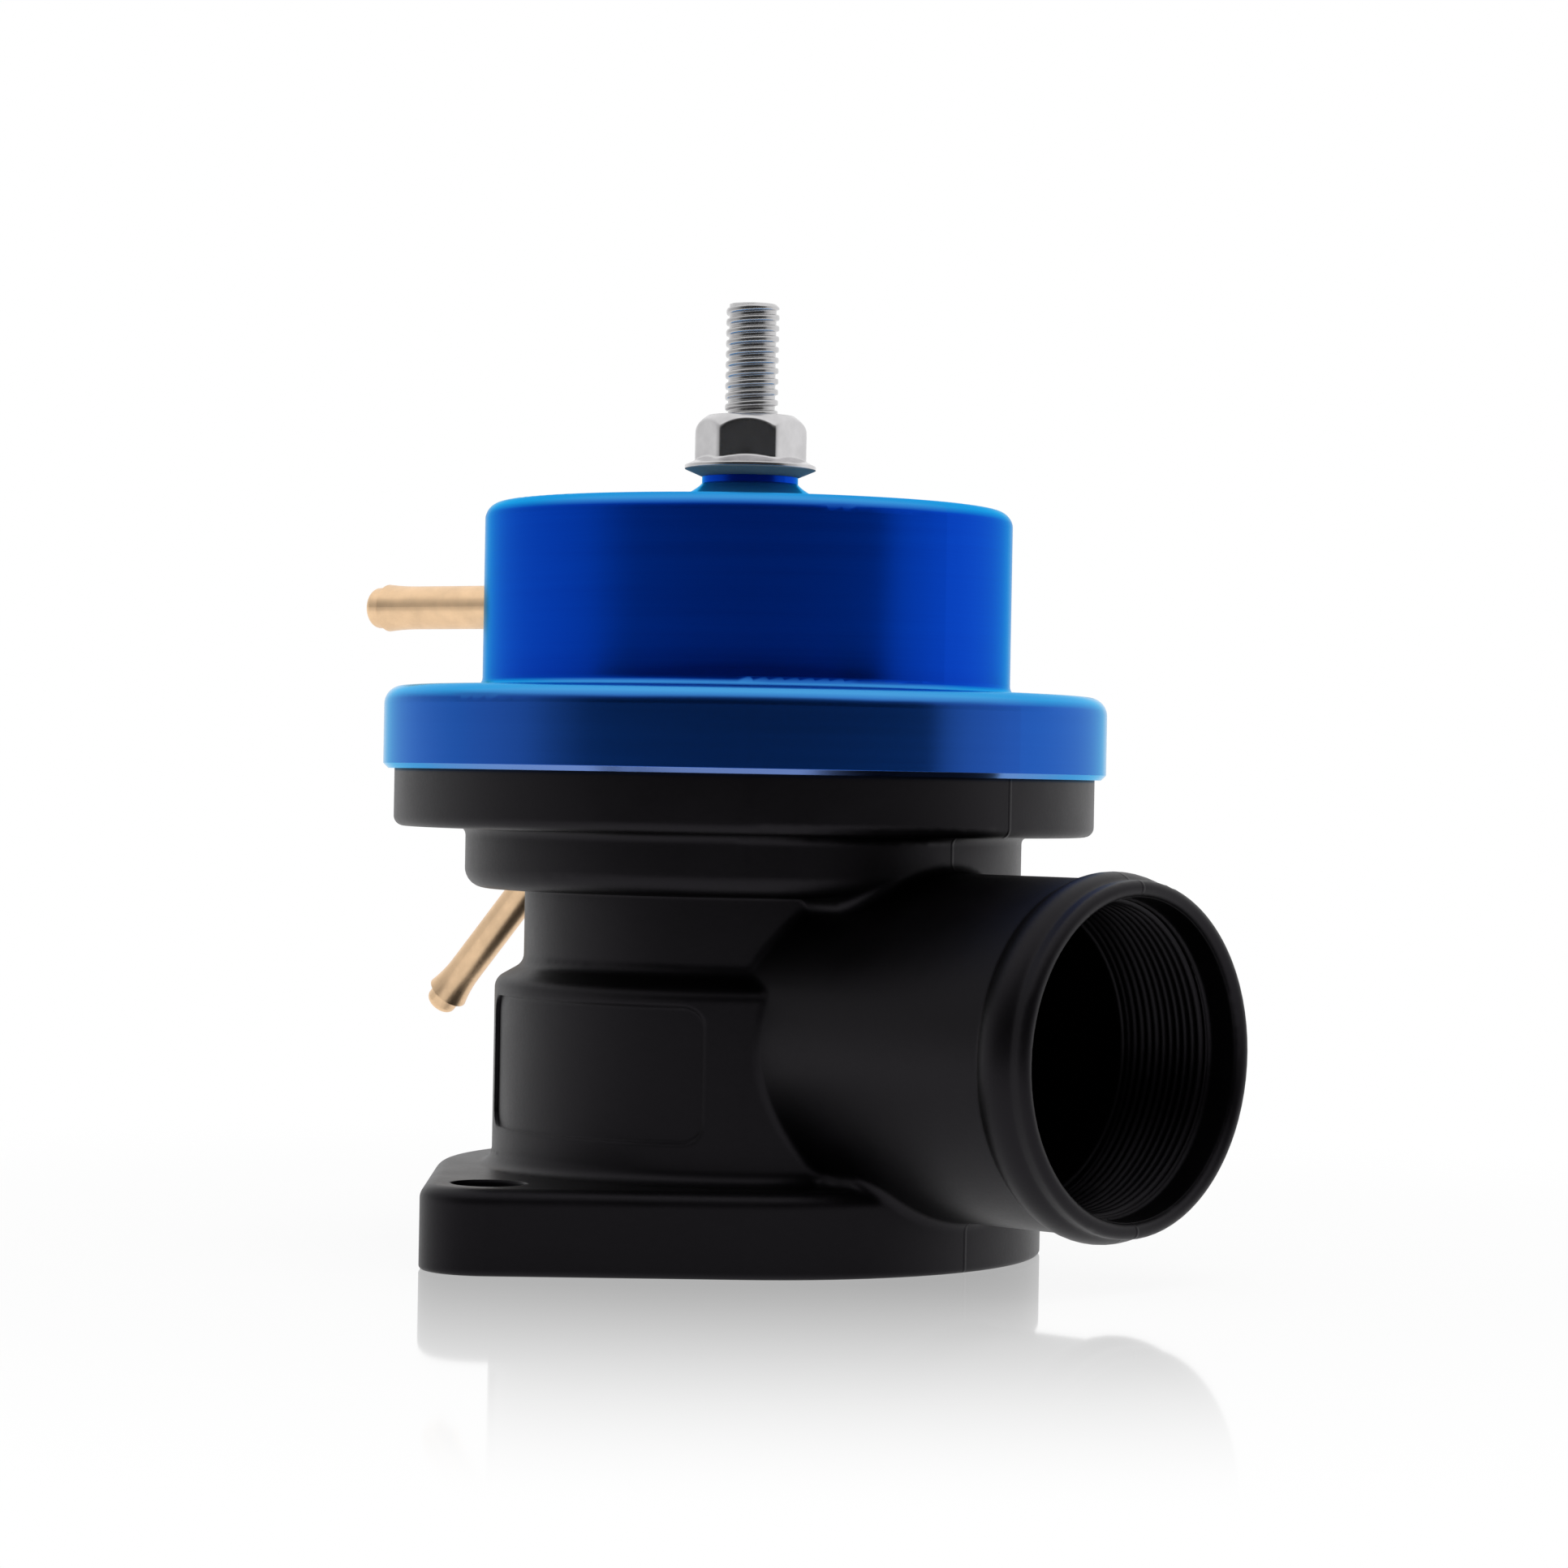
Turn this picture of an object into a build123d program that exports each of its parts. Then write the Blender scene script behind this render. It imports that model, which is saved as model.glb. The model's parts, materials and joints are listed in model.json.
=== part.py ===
"""Diaphragm blow-off valve with a two-bolt base, a side outlet and a screw-adjusted spring load.

Millimetres. The origin is the centre of the inlet in the base's mounting face, +Z is up along
the stem, and +X points out of the outlet. The valve is drawn closed.
"""

import os
from math import cos, radians, sin, sqrt

from build123d import *

# Base flange, a two-bolt diamond
base_thickness = 9.7
base_shelf = 6.8
base_ear_radius = 7.7
base_bolt_reach = 11.1
base_bolt_hole_radius = 4.25
base_top_round = 1.7
base_bottom_round = 0.5
base_groove_land = 2.95
base_groove_width = 2.7
base_groove_depth = 2.2

# Body casting outside, from the base up
lower_body_radius = 29.4
shoulder_rise = 5.9
root_round = 1.8
shoulder_height = 1.95
neck_inset = 3.4
shoulder_round = 1.8
step_stand = 7.2
step_height = 7.2
step_bottom_round = 2.4
flange_stand = 8.55
flange_thickness = 6.8
flange_bottom_round = 1.2
flange_root_round = 1.0

# Body inside
lower_wall = 3.4
neck_wall = 3.0
seat_ledge = 1.6
chamber_roof = 3.1
chamber_round = 1.5
diaphragm_room_depth = 9.9
diaphragm_room_wall = 3.7
guide_wall = 2.8
guide_height = 13.9
guide_stand = 1.9

# Recessed panel on the lower body
panel_width = 34.4
panel_height = 15.5
panel_rise = 4.7
panel_corner_radius = 2.2
panel_depth = 0.45

# Outlet tube
outlet_rise = 5.9
outlet_to_flange = 4.1
outlet_radius = 19.8
outlet_length = 61.3
outlet_root_fillet = 1.2
bead_height = 0.85
bead_width = 4.6
bead_to_mouth = 2.1
mouth_round = 0.9
mouth_wall = 1.85
mouth_bore_depth = 4.4
thread_inset = 0.25
thread_length = 11.6
duct_inset = 1.1
duct_overlap = 4.0

# Cap
cap_flange_overhang = 1.35
cap_flange_thickness = 9.8
cap_flange_round = 2.2
cap_flange_chamfer = 0.6
cap_ledge = 11.6
cap_chamber_height = 22.0
cap_top_round = 2.0
cap_root_round = 1.2
cap_wall = 3.5
cap_roof = 3.0
cap_room_round = 2.5
cap_boss_wall = 2.525
cap_boss_height = 3.7
cap_boss_flare = 1.3

# Cap screws, M4 socket head
cap_screw_count = 6
cap_screw_start = 161.0
cap_screw_radius = 2.0
cap_screw_head_radius = 3.5
cap_screw_head_height = 4.0
cap_screw_recess = 0.6
cap_screw_length = 10.0
cap_screw_socket = 3.0
cap_screw_socket_depth = 2.0
cap_screw_end_room = 0.5

# Diaphragm and its plates
diaphragm_thickness = 1.0
diaphragm_clamp = 4.7
diaphragm_drop = 3.9
convolution_radius = 2.3
convolution_sink = 0.4
lower_plate_thickness = 2.0
upper_plate_thickness = 1.8
upper_plate_rim_height = 4.5
upper_plate_rim_width = 2.0
upper_plate_pad_gap = 0.9
upper_plate_pad_height = 4.0

# Stem, poppet and seat
stem_radius = 4.0
spigot_shoulder = 1.0
stem_nut_flats = 10.0
stem_nut_height = 5.0
stem_washer_radius = 6.0
stem_washer_thickness = 1.0
stem_overhang = 1.0
seat_bore_radius = 16.5
seat_ring_wall = 4.5
seat_ring_height = 9.0
seat_neck_wall = 2.3
seat_lip_wall = 1.7
seat_lip_width = 1.2
seat_lip_stand = 3.0
seat_flare_height = 2.0
seat_ring_groove_middle = 4.7
seat_o_ring_radius = 0.75
base_o_ring_radius = 1.05
poppet_overhang = 1.3
poppet_rim_height = 3.0
poppet_hub_wall = 2.8
poppet_height = 9.0
poppet_seal_margin = 0.6
poppet_seal_width = 3.0
poppet_seal_thickness = 1.8
poppet_seal_stand = 0.3
poppet_nut_height = 3.2
poppet_nut_recess = 0.5
poppet_nut_room = 0.4
poppet_web = 2.5
poppet_hub_stand = 2.0
poppet_rim_round = 0.8
spigot_chamfer = 0.5

# Stem guide
bush_wall = 2.0
bush_length = 7.8
bush_sink = 2.4
seal_pocket_depth = 2.2
seal_lip_gap = 0.3
stem_seal_wire_radius = 0.97
circlip_thickness = 1.0
circlip_ring_width = 1.3
circlip_groove_depth = 0.8
circlip_gap_angle = 50.0
circlip_lug_radius = 1.25
circlip_lug_hole_radius = 0.5

# Springs and their upper seat
spring_seat_drop = 5.2
spring_seat_rim = 1.7
spring_seat_thickness = 2.0
spring_seat_hub_height = 2.0
spring_seat_boss_radius = 6.0
spring_seat_boss_height = 1.4
screw_dimple_depth = 1.4
outer_spring_gap = 2.4
outer_spring_wire = 2.6
outer_spring_turns = 5
spring_spacing = 3.7
inner_spring_wire = 2.0
inner_spring_turns = 6

# Adjusting screw, 1/4-20, and its flanged lock nut
screw_radius = 3.175
screw_stand = 13.35
screw_chamfer = 0.6
screw_socket = 3.2
screw_socket_depth = 3.5
nut_flats = 11.8
nut_height = 7.3
nut_flange_radius = 7.85
nut_flange_rise = 0.9
nut_flange_edge = 0.45
nut_flange_slope = 0.9
nut_crown_inset = 0.7
nut_crown_drop = 1.3
nut_rotation = -20.3

# Hose nipples
nipple_wall = 1.15
nipple_spigot_inset = 0.3
nipple_barb_flare = 4.2
nipple_barb_back = 0.35
nipple_nose_length = 2.2
nipple_nose_inset = 0.15
nipple_nose_round = 0.8
upper_nipple_radius = 2.7
upper_nipple_barb_height = 0.25
upper_nipple_length = 24.5
upper_nipple_rise = 10.4
upper_nipple_azimuth = 191.0
upper_nipple_spigot = 3.2
lower_nipple_radius = 2.05
lower_nipple_barb_height = 0.5
lower_nipple_length = 22.8
lower_nipple_azimuth = 187.0
lower_nipple_slope = 47.0
lower_nipple_spigot = 4.0
lower_nipple_spot_margin = 0.85
lower_nipple_seat_reach = 1.9
lower_port_reach = 3.0

# Clearances
sliding_clearance = 0.05
thread_clearance = 0.05
assembly_clearance = 0.1
screw_hole_clearance = 0.25
roll_clearance = 0.3
plate_clearance = 0.4

# Levels, from the mounting face up
outlet_height = outlet_rise + outlet_radius
lower_body_top = outlet_height + shoulder_rise
shoulder_top = lower_body_top + shoulder_height
flange_bottom = outlet_height + outlet_radius + outlet_to_flange
step_bottom = flange_bottom - step_height
split_height = flange_bottom + flange_thickness
cap_flange_top = split_height + cap_flange_thickness
cap_top = cap_flange_top + cap_chamber_height
boss_top = cap_top + cap_boss_height
room_ceiling = cap_top - cap_roof
nut_top = boss_top + nut_height
screw_top = nut_top + screw_stand
seat_height = seat_ring_height + seat_lip_stand
chamber_floor = seat_ring_height + seat_ledge
diaphragm_room_floor = split_height - diaphragm_room_depth
chamber_ceiling = diaphragm_room_floor - chamber_roof
guide_top = diaphragm_room_floor + guide_stand
guide_bottom = guide_top - guide_height
bush_top = guide_top - bush_sink
bush_bottom = bush_top - bush_length
seal_pocket_bottom = bush_bottom - seal_pocket_depth
circlip_bottom = bush_top + assembly_clearance
circlip_groove_top = circlip_bottom + circlip_thickness + assembly_clearance
rim_underside = split_height - diaphragm_thickness
diaphragm_top = split_height - diaphragm_drop
diaphragm_underside = diaphragm_top - diaphragm_thickness
roll_height = rim_underside - convolution_sink
lower_plate_underside = diaphragm_underside - lower_plate_thickness
upper_plate_top = diaphragm_top + upper_plate_thickness
upper_plate_pad_top = diaphragm_top + upper_plate_pad_height
stem_washer_top = upper_plate_pad_top + stem_washer_thickness
stem_nut_top = stem_washer_top + stem_nut_height
stem_top = stem_nut_top + stem_overhang
poppet_underside = seat_height + poppet_seal_stand
poppet_top = seat_height + poppet_height
poppet_nut_bottom = poppet_underside + poppet_nut_recess
poppet_nut_top = poppet_nut_bottom + poppet_nut_height
stem_shoulder = poppet_nut_top + poppet_web
spring_seat_underside = room_ceiling - spring_seat_drop
spring_seat_top = spring_seat_underside + spring_seat_thickness
spring_seat_crown = spring_seat_top + spring_seat_boss_height
screw_bottom = spring_seat_crown - screw_dimple_depth
cap_screw_head_top = cap_flange_top - cap_screw_recess
cap_screw_head_bottom = cap_screw_head_top - cap_screw_head_height
cap_screw_grip = cap_screw_head_bottom - split_height
cap_screw_hole_depth = cap_screw_length - cap_screw_grip + cap_screw_end_room

# Radii and reaches
base_middle_radius = lower_body_radius + base_shelf
base_bolt_half_spacing = lower_body_radius + base_bolt_reach
neck_radius = lower_body_radius - neck_inset
step_radius = neck_radius + step_stand
flange_radius = step_radius + flange_stand
cap_flange_radius = flange_radius + cap_flange_overhang
cap_radius = cap_flange_radius - cap_ledge
cap_room_radius = cap_radius - cap_wall
cap_screw_circle = cap_flange_radius - cap_ledge / 2
diaphragm_room_radius = step_radius - diaphragm_room_wall
diaphragm_radius = diaphragm_room_radius + diaphragm_clamp
convolution_middle = cap_room_radius - convolution_radius - roll_clearance
roll_outer_radius = convolution_radius + diaphragm_thickness / 2
roll_inner_radius = convolution_radius - diaphragm_thickness / 2
roll_outer_reach = sqrt(roll_outer_radius**2 - (split_height - roll_height) ** 2)
roll_inner_reach = sqrt(roll_inner_radius**2 - (rim_underside - roll_height) ** 2)
plate_radius = convolution_middle - roll_outer_radius - plate_clearance
outer_spring_radius = (
    plate_radius - upper_plate_rim_width - outer_spring_gap - outer_spring_wire / 2
)
inner_spring_radius = (
    outer_spring_radius - outer_spring_wire / 2 - spring_spacing - inner_spring_wire / 2
)
upper_plate_pad_radius = inner_spring_radius - inner_spring_wire / 2 - upper_plate_pad_gap
spring_seat_radius = outer_spring_radius + outer_spring_wire / 2 + spring_seat_rim
mouth_bore_radius = outlet_radius - mouth_wall
thread_radius = mouth_bore_radius - thread_inset
duct_radius = thread_radius - duct_inset
duct_start = lower_body_radius - lower_wall - duct_overlap
mouth_bore_end = outlet_length - mouth_bore_depth
thread_end = mouth_bore_end - thread_length
screw_bore_radius = screw_radius + thread_clearance
cap_boss_radius = screw_bore_radius + cap_boss_wall
nut_corner_radius = nut_flats / sqrt(3)
nut_crown_radius = nut_flats / 2 - nut_crown_inset
spigot_radius = stem_radius - spigot_shoulder
spigot_bore_radius = spigot_radius + sliding_clearance
seat_ring_radius = seat_bore_radius + seat_ring_wall
seat_neck_radius = seat_bore_radius + seat_neck_wall
seat_lip_outer_radius = seat_bore_radius + seat_lip_wall
seat_lip_inner_radius = seat_lip_outer_radius - seat_lip_width
base_groove_middle_radius = seat_ring_radius + base_groove_land + base_groove_width / 2
poppet_radius = seat_lip_outer_radius + poppet_overhang
poppet_seal_outer_radius = poppet_radius - poppet_seal_margin
poppet_seal_inner_radius = poppet_seal_outer_radius - poppet_seal_width
poppet_hub_radius = stem_radius + poppet_hub_wall
poppet_nut_room_radius = stem_nut_flats / sqrt(3) + poppet_nut_room
bush_radius = stem_radius + bush_wall
guide_radius = bush_radius + guide_wall
seal_lip_radius = stem_radius + seal_lip_gap
pocket_radius = bush_radius + sliding_clearance / 2
circlip_groove_radius = pocket_radius + circlip_groove_depth
circlip_outer_radius = circlip_groove_radius - assembly_clearance
circlip_lug_circle = circlip_outer_radius - circlip_lug_radius
circlip_gap_slope = sin(radians(circlip_gap_angle / 2)) / cos(radians(circlip_gap_angle / 2))
upper_spigot_radius = upper_nipple_radius - nipple_spigot_inset
lower_spigot_radius = lower_nipple_radius - nipple_spigot_inset
upper_nipple_height = cap_flange_top + upper_nipple_rise
lower_nipple_spot_radius = lower_nipple_radius + lower_nipple_spot_margin
step_round_centre_radius = step_radius - step_bottom_round
step_round_centre_height = step_bottom + step_bottom_round
lower_port_depth = lower_nipple_spigot + lower_port_reach


def around_z(azimuth):
    """Unit vector at an azimuth in degrees, level with the base."""
    return Vector(cos(radians(azimuth)), sin(radians(azimuth)), 0)


def profile_plane(origin, along):
    """Plane through an axis: its Y runs along the axis and its X stands square to it."""
    sideways = Vector(0, 0, 1).cross(along).normalized()
    return Plane(origin=origin, x_dir=sideways, z_dir=sideways.cross(along))


def is_tube_root(edge):
    """True for an edge where the outlet tube's outside meets the rest of the casting."""
    middle = edge @ 0.5
    off_axis = sqrt(middle.Y**2 + (middle.Z - outlet_height) ** 2)
    is_seam = edge.geom_type == GeomType.LINE and abs(middle.Y) < outlet_root_fillet
    on_tube = abs(off_axis - outlet_radius) < sliding_clearance and middle.X < flange_radius
    return on_tube and not is_seam


def torus_ring(ring_radius, wire_radius, height):
    """O-ring lying level, with its wire's centre at a height."""
    with BuildPart() as ring:
        with BuildSketch(Plane.XZ):
            with Locations((ring_radius, height)):
                Circle(wire_radius)
        revolve(axis=Axis.Z)
    return ring


def hose_nipple(seat_centre, along, radius, length, barb_height, spigot_length):
    """Brass nipple: spigot in the wall, plain tube outside, one flared barb and a short nose."""
    bore_radius = radius - nipple_wall
    nose_radius = radius - nipple_nose_inset
    inner_radius = radius - nipple_spigot_inset
    nose_start = length - nipple_nose_length
    flare_start = nose_start - nipple_barb_flare
    with BuildPart() as nipple:
        with BuildSketch(profile_plane(seat_centre, along)):
            with BuildLine():
                Polyline(
                    (nose_radius - nipple_nose_round, length),
                    (bore_radius, length),
                    (bore_radius, -spigot_length),
                    (inner_radius, -spigot_length),
                    (inner_radius, 0),
                    (radius, 0),
                    (radius, flare_start),
                )
                TangentArc(
                    (radius, flare_start), (radius + barb_height, nose_start), tangent=(0, 1)
                )
                Polyline(
                    (radius + barb_height, nose_start),
                    (nose_radius, nose_start + nipple_barb_back),
                    (nose_radius, length - nipple_nose_round),
                )
                RadiusArc(
                    (nose_radius, length - nipple_nose_round),
                    (nose_radius - nipple_nose_round, length),
                    -nipple_nose_round,
                )
            make_face()
        revolve(axis=Axis(seat_centre, along))
    return nipple


def hex_nut(flats, bottom, height, bore_radius):
    """Plain hexagon nut with both crowns chamfered."""
    corner_radius = flats / sqrt(3)
    crown = (corner_radius - flats / 2) * 0.6
    with BuildPart() as nut:
        with BuildSketch(Plane.XY.offset(bottom)):
            RegularPolygon(flats / 2, 6, major_radius=False)
        extrude(amount=height)
        with BuildSketch(Plane.XZ):
            Polygon(
                (0, bottom),
                (flats / 2, bottom),
                (corner_radius, bottom + crown),
                (corner_radius, bottom + height - crown),
                (flats / 2, bottom + height),
                (0, bottom + height),
                align=None,
            )
        revolve(axis=Axis.Z, mode=Mode.INTERSECT)
        with BuildSketch(Plane.XY.offset(bottom)):
            Circle(bore_radius)
        extrude(amount=height, mode=Mode.SUBTRACT)
    return nut


def coil_spring(coil_radius, wire_diameter, turns, bottom, top, lefthand):
    """Round-wire compression spring with both ends ground flat."""
    height = top - bottom
    with BuildPart() as spring:
        with BuildLine() as wire:
            Helix(height / turns, height, coil_radius, center=(0, 0, bottom), lefthand=lefthand)
        with BuildSketch(Plane(origin=wire.line @ 0, z_dir=wire.line % 0)):
            Circle(wire_diameter / 2)
        sweep(path=wire.line, is_frenet=True)
        split(bisect_by=Plane.XY.offset(bottom), keep=Keep.TOP)
        split(bisect_by=Plane.XY.offset(top), keep=Keep.BOTTOM)
    return spring


upper_nipple_along = around_z(upper_nipple_azimuth)
upper_nipple_seat = upper_nipple_along * cap_radius + Vector(0, 0, upper_nipple_height)
lower_nipple_along = around_z(lower_nipple_azimuth) * cos(radians(lower_nipple_slope)) - Vector(
    0, 0, sin(radians(lower_nipple_slope))
)
lower_nipple_seat = (
    around_z(lower_nipple_azimuth) * step_round_centre_radius
    + Vector(0, 0, step_round_centre_height)
    + lower_nipple_along * lower_nipple_seat_reach
)
outlet_axis = Axis((0, 0, outlet_height), (1, 0, 0))

# The panel's recess: a rounded rectangle pressed into the lower body's -Y side
with BuildPart() as panel_recess:
    with BuildSketch(Plane.XZ):
        with Locations((0, base_thickness + panel_rise + panel_height / 2)):
            RectangleRounded(panel_width, panel_height, panel_corner_radius)
    extrude(amount=lower_body_radius + panel_depth)
    with BuildSketch(Plane.XY):
        Circle(lower_body_radius - panel_depth)
    extrude(amount=step_bottom, mode=Mode.SUBTRACT)

# Valve body: base flange, round lower body, neck, stepped upper flange and outlet tube
with BuildPart() as valve_body:
    with BuildSketch():
        with BuildLine():
            CenterArc((0, 0), base_middle_radius, 0, 360)
            CenterArc((0, base_bolt_half_spacing), base_ear_radius, 0, 360)
            CenterArc((0, -base_bolt_half_spacing), base_ear_radius, 0, 360)
        make_hull()
    extrude(amount=base_thickness)
    fillet(valve_body.faces().sort_by(Axis.Z)[-1].edges(), base_top_round)
    fillet(valve_body.faces().sort_by(Axis.Z)[0].edges(), base_bottom_round)

    with BuildSketch(Plane.XZ):
        with BuildLine():
            Line((0, base_thickness / 2), (lower_body_radius + root_round, base_thickness / 2))
            Line(
                (lower_body_radius + root_round, base_thickness / 2),
                (lower_body_radius + root_round, base_thickness),
            )
            RadiusArc(
                (lower_body_radius + root_round, base_thickness),
                (lower_body_radius, base_thickness + root_round),
                root_round,
            )
            FilletPolyline(
                (lower_body_radius, base_thickness + root_round),
                (lower_body_radius, lower_body_top),
                (neck_radius, shoulder_top),
                (neck_radius, step_bottom),
                radius=shoulder_round,
            )
            Line((neck_radius, step_bottom), (step_radius - step_bottom_round, step_bottom))
            RadiusArc(
                (step_radius - step_bottom_round, step_bottom),
                (step_radius, step_bottom + step_bottom_round),
                -step_bottom_round,
            )
            FilletPolyline(
                (step_radius, step_bottom + step_bottom_round),
                (step_radius, flange_bottom),
                (flange_radius - flange_bottom_round, flange_bottom),
                radius=flange_root_round,
            )
            RadiusArc(
                (flange_radius - flange_bottom_round, flange_bottom),
                (flange_radius, flange_bottom + flange_bottom_round),
                -flange_bottom_round,
            )
            Polyline(
                (flange_radius, flange_bottom + flange_bottom_round),
                (flange_radius, split_height),
                (0, split_height),
                (0, base_thickness / 2),
            )
        make_face()
    revolve(axis=Axis.Z)

    bead_middle = outlet_length - bead_to_mouth - bead_width / 2
    tube_top = outlet_height + outlet_radius
    with BuildSketch(Plane.XZ):
        with BuildLine():
            Polyline(
                (outlet_length - mouth_round, tube_top - mouth_round * 2),
                (outlet_length - mouth_round, outlet_height),
                (0, outlet_height),
                (0, tube_top),
                (bead_middle - bead_width / 2, tube_top),
            )
            ThreePointArc(
                (bead_middle - bead_width / 2, tube_top),
                (bead_middle, tube_top + bead_height),
                (bead_middle + bead_width / 2, tube_top),
            )
            Line((bead_middle + bead_width / 2, tube_top), (outlet_length - mouth_round, tube_top))
            ThreePointArc(
                (outlet_length - mouth_round, tube_top),
                (outlet_length, tube_top - mouth_round),
                (outlet_length - mouth_round, tube_top - mouth_round * 2),
            )
        make_face()
    revolve(axis=outlet_axis)

    fillet(valve_body.edges().filter_by(is_tube_root), outlet_root_fillet)
    add(panel_recess.part, mode=Mode.SUBTRACT)

    with BuildSketch():
        with Locations((0, base_bolt_half_spacing), (0, -base_bolt_half_spacing)):
            Circle(base_bolt_hole_radius)
    extrude(amount=base_thickness, mode=Mode.SUBTRACT)
    with BuildSketch():
        Circle(base_groove_middle_radius + base_groove_width / 2)
        Circle(base_groove_middle_radius - base_groove_width / 2, mode=Mode.SUBTRACT)
    extrude(amount=base_groove_depth, mode=Mode.SUBTRACT)

    # Inside: seat pocket, valve chamber around the stem guide, and the room under the diaphragm
    with BuildSketch(Plane.XZ):
        Polygon(
            (0, 0),
            (seat_ring_radius + sliding_clearance, 0),
            (seat_ring_radius + sliding_clearance, seat_ring_height),
            (seat_neck_radius + assembly_clearance, seat_ring_height),
            (seat_neck_radius + assembly_clearance, chamber_floor),
            (0, chamber_floor),
            align=None,
        )
    revolve(axis=Axis.Z, mode=Mode.SUBTRACT)
    with BuildSketch(Plane.XZ):
        with BuildLine():
            FilletPolyline(
                (guide_radius, guide_bottom),
                (guide_radius, chamber_ceiling),
                (neck_radius - neck_wall, chamber_ceiling),
                (neck_radius - neck_wall, shoulder_top),
                (lower_body_radius - lower_wall, lower_body_top),
                (lower_body_radius - lower_wall, chamber_floor),
                (0, chamber_floor),
                radius=chamber_round,
            )
            Polyline((0, chamber_floor), (0, guide_bottom), (guide_radius, guide_bottom))
        make_face()
    revolve(axis=Axis.Z, mode=Mode.SUBTRACT)
    with BuildSketch(Plane.XZ):
        Polygon(
            (0, guide_bottom),
            (seal_lip_radius, guide_bottom),
            (seal_lip_radius, seal_pocket_bottom),
            (pocket_radius, seal_pocket_bottom),
            (pocket_radius, circlip_bottom),
            (circlip_groove_radius, circlip_bottom),
            (circlip_groove_radius, circlip_groove_top),
            (pocket_radius, circlip_groove_top),
            (pocket_radius, guide_top),
            (0, guide_top),
            align=None,
        )
    revolve(axis=Axis.Z, mode=Mode.SUBTRACT)
    with BuildSketch(Plane.XZ):
        Polygon(
            (0, guide_top),
            (guide_radius, guide_top),
            (guide_radius, diaphragm_room_floor),
            (diaphragm_room_radius, diaphragm_room_floor),
            (diaphragm_room_radius, rim_underside),
            (diaphragm_radius + assembly_clearance, rim_underside),
            (diaphragm_radius + assembly_clearance, split_height),
            (0, split_height),
            align=None,
        )
    revolve(axis=Axis.Z, mode=Mode.SUBTRACT)

    # Outlet bore: plain mouth, the threaded length and the duct behind it
    with BuildSketch(Plane.XZ):
        Polygon(
            (duct_start, outlet_height),
            (duct_start, outlet_height + duct_radius),
            (thread_end, outlet_height + duct_radius),
            (thread_end, outlet_height + thread_radius),
            (mouth_bore_end, outlet_height + thread_radius),
            (mouth_bore_end, outlet_height + mouth_bore_radius),
            (outlet_length + mouth_round, outlet_height + mouth_bore_radius),
            (outlet_length + mouth_round, outlet_height),
            align=None,
        )
    revolve(axis=outlet_axis, mode=Mode.SUBTRACT)

    # Blind threaded holes for the cap screws
    with BuildSketch(Plane.XY.offset(split_height)):
        with PolarLocations(cap_screw_circle, cap_screw_count, cap_screw_start):
            Circle(cap_screw_radius + thread_clearance)
    extrude(amount=-cap_screw_hole_depth, mode=Mode.SUBTRACT)

    # Spot face, threaded hole and port of the lower nipple
    with BuildSketch(Plane(lower_nipple_seat, z_dir=lower_nipple_along)):
        Circle(lower_nipple_spot_radius)
    extrude(amount=step_bottom_round, mode=Mode.SUBTRACT)
    with BuildSketch(Plane(lower_nipple_seat, z_dir=lower_nipple_along)):
        Circle(lower_spigot_radius + thread_clearance)
    extrude(amount=-lower_nipple_spigot, mode=Mode.SUBTRACT)
    with BuildSketch(Plane(lower_nipple_seat, z_dir=lower_nipple_along)):
        Circle(lower_nipple_radius - nipple_wall)
    extrude(amount=-lower_port_depth, mode=Mode.SUBTRACT)

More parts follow.
